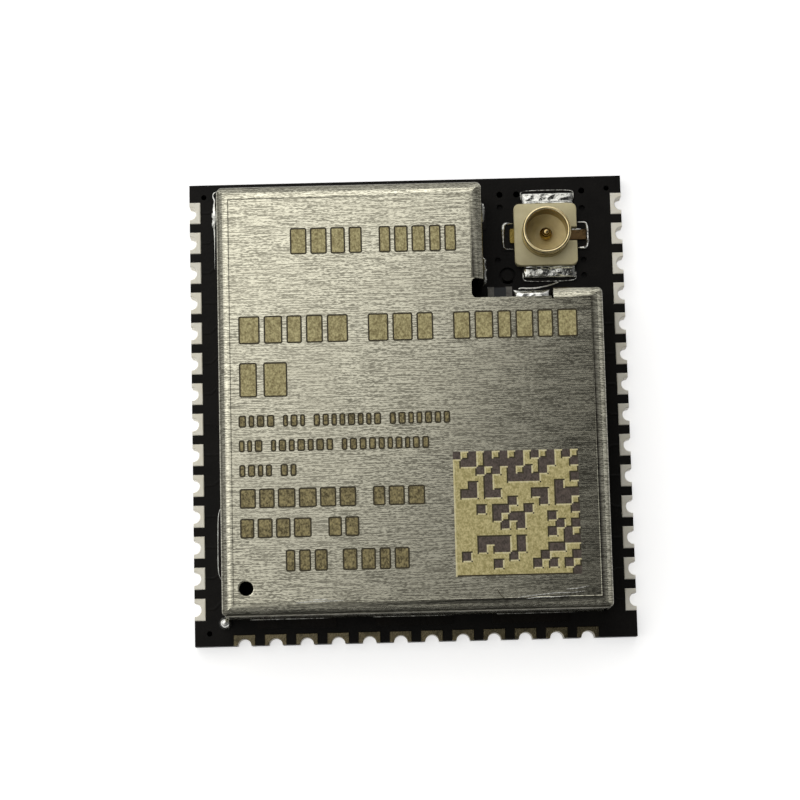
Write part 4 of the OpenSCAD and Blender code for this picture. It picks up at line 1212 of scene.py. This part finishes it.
def canSolder(shape):
    # strips of fillet along the foot of each wall
    floor, parts = boardTop, []
    for index, (strips, (start, end, out)) in enumerate(zip(shape["strips"], canRuns)):
        for k, (share, length) in enumerate(strips):
            a, b = start + (end - start) * share, start + (end - start) * (share + length)
            parts.append(filletRun(a, b, out, shape, 31 * index + k, *shape["fillets"][index]))
    # a pool in the slit beside the flap, the thin beads and the whisker
    stripEnd = canHigh[0] - canShape["flapLong"] - canShape["slit"]
    (left, below), (right, above) = shape["poolFrom"], shape["poolTo"]
    low, high = (stripEnd - left, notchY - below), (stripEnd + right, notchY + above)
    bright = [solderPillow(low, high, shape["pool"], 5, floor, 0.03, (4, 3), 24, 56)]
    for run in shape["runs"]:
        bead = smoothPath(run, 120)
        bumps = bead[:, 2] * (1 + 0.35 * wobble(bead[:, 0] * 2.5, bead[:, 1] * 2.5, 61, 5))
        bright.append(boardBead(bead, bumps, 1.3))
    bright.append(carryRound(smoothPath(shape["whisker"]) + [0, 0, floor], (0.03, 0.03)))
    # a drop that ran down the near left corner: radius = width * (1 - t^2)^0.5 up to its height
    x, y, wide, high = shape["cornerDrop"]
    t = np.linspace(0, 1, 10)
    drop = [(0, 0)] + list(np.stack([wide * np.sqrt(1 - t ** 2), high * t], -1))
    bright.append(revolve(drop, (x, y), floor - 0.02, 32))
    makePiece("brightRuns", bright, finishes["solderPaintedHighlight"])
    makePiece("shieldSolder", parts, finishes["solder"], ["shield_solder"])


jackSolder(solderShape)
canSolder(solderShape)
print("solder made")


record = frame["record"]
slotOf = {part["node"]: part["material_slot"] for part in record["subparts"]}
# both kinds of land take the painted dark reflection
slotOf.update(shield_lands="landsPaintedDark", receptacle_lands="landsPaintedDark")
for node, piece in cadNodes.items():
    material = finishes.get(slotOf.get(node))
    if material is None:
        continue
    for index in range(len(piece.data.materials)):
        piece.material_slots[index].material = material
print("finishes given")


lightLook = dict(
    skyBright=0.75, skyDark=0.17, overhead=0.03, horizon=0.35, overheadFrom=0.70, overheadTo=0.86,
    lampWide=130, lampLong=320, lampTint=(1.0, 0.99, 0.96),
    # each lamp: name, where its nearest long edge crosses y = 16, its height, turn and strength; no two hang
    # in one plane
    lamps=[("keyLight", 12, 121, 0, 0.22), ("wideLight", 2, 123, -27, 0.37),
           ("highLight", -24, 125, -55, 0.53)])
floorLook = dict(half=1.5, colour=(0.86, 0.86, 0.86, 1), glowInView=0.62, glowInMirrors=0.42)
cameraLook = dict(place=(-0.903, -14.973, 102.694), turn=(8.548, -0.055, -1.422), lens=112.5)


def buildWorld(look):
    # one surround for every ray: bright towards -X and +Y, dark towards +X and -Y, and dim overhead
    world = bpy.data.worlds.new("studio")
    bpy.context.scene.world = world
    world.use_nodes = True
    tree = world.node_tree
    background = tree.nodes["Background"]
    coordinates = add(tree, "ShaderNodeTexCoord")
    split = add(tree, "ShaderNodeSeparateXYZ")
    join(tree, (coordinates.outputs["Generated"], split.inputs[0]))
    side = calc(tree, "SUBTRACT", split.outputs[1], split.outputs[0])
    level = spread(tree, side, -0.8, 0.8, look["skyDark"], look["skyBright"])
    level = calc(tree, "MULTIPLY", level, spread(tree, split.outputs[2], 0.0, 0.4, look["horizon"], 1.0))
    height = spread(tree, split.outputs[2], look["overheadFrom"], look["overheadTo"])
    level = calc(tree, "ADD", calc(tree, "MULTIPLY", level, calc(tree, "SUBTRACT", 1.0, height)),
                 calc(tree, "MULTIPLY", height, look["overhead"]))
    join(tree, (level, background.inputs["Strength"]))
    background.inputs["Color"].default_value = (1.0, 0.995, 0.985, 1)


def buildLamp(look, name, edge, up, turn, strength):
    # a soft box that hangs level; its power gives the wanted radiance: power = strength * pi * area
    wide, long, angle = look["lampWide"], look["lampLong"], math.radians(turn)
    data = bpy.data.lights.new(name, "AREA")
    data.shape = "RECTANGLE"
    data.size, data.size_y = wide * mm, long * mm
    data.energy = strength * math.pi * data.size * data.size_y
    data.color = look["lampTint"]
    lamp = bpy.data.objects.new(name, data)
    middle = (edge - math.cos(angle) * wide / 2, 16 - math.sin(angle) * wide / 2, up)
    lamp.location = np.array(middle) * mm
    lamp.rotation_euler = (0, 0, angle)
    bpy.context.scene.collection.objects.link(lamp)


def buildFloor(look):
    # a pale floor: diffuse white that keeps the shadow, with a little light of its own for camera and mirrors
    size = look["half"]
    mesh = bpy.data.meshes.new("paleFloor")
    mesh.from_pydata([(-size, -size, 0), (size, -size, 0), (size, size, 0), (-size, size, 0)], [],
                     [(0, 1, 2, 3)])
    floor = bpy.data.objects.new("paleFloor", mesh)
    bpy.context.scene.collection.objects.link(floor)
    plain = {"Base Color": look["colour"], "Roughness": 0.9, "Specular IOR Level": 0.1}
    material, tree, shader = startMaterial("paleFloor", plain)
    paths = add(tree, "ShaderNodeLightPath")
    mirrored = calc(tree, "MAXIMUM", paths.outputs["Is Glossy Ray"], paths.outputs["Is Transmission Ray"])
    mirrored = calc(tree, "MULTIPLY", mirrored, look["glowInMirrors"])
    glow = calc(tree, "MULTIPLY_ADD", paths.outputs["Is Camera Ray"], look["glowInView"], mirrored)
    join(tree, (glow, shader.inputs["Emission Strength"]))
    shader.inputs["Emission Color"].default_value = (1, 1, 1, 1)
    mesh.materials.append(material)


def buildCamera(look):
    data = bpy.data.cameras.new("mainCamera")
    data.lens = look["lens"]
    data.sensor_width = 36
    data.clip_start = 0.002
    data.clip_end = 20
    camera = bpy.data.objects.new("mainCamera", data)
    camera.location = np.array(look["place"]) * mm
    camera.rotation_euler = np.radians(look["turn"])
    bpy.context.scene.collection.objects.link(camera)
    bpy.context.scene.camera = camera


buildWorld(lightLook)
for lamp in lightLook["lamps"]:
    buildLamp(lightLook, *lamp)
buildFloor(floorLook)
buildCamera(cameraLook)
bpy.context.scene.view_settings.view_transform = "Standard"
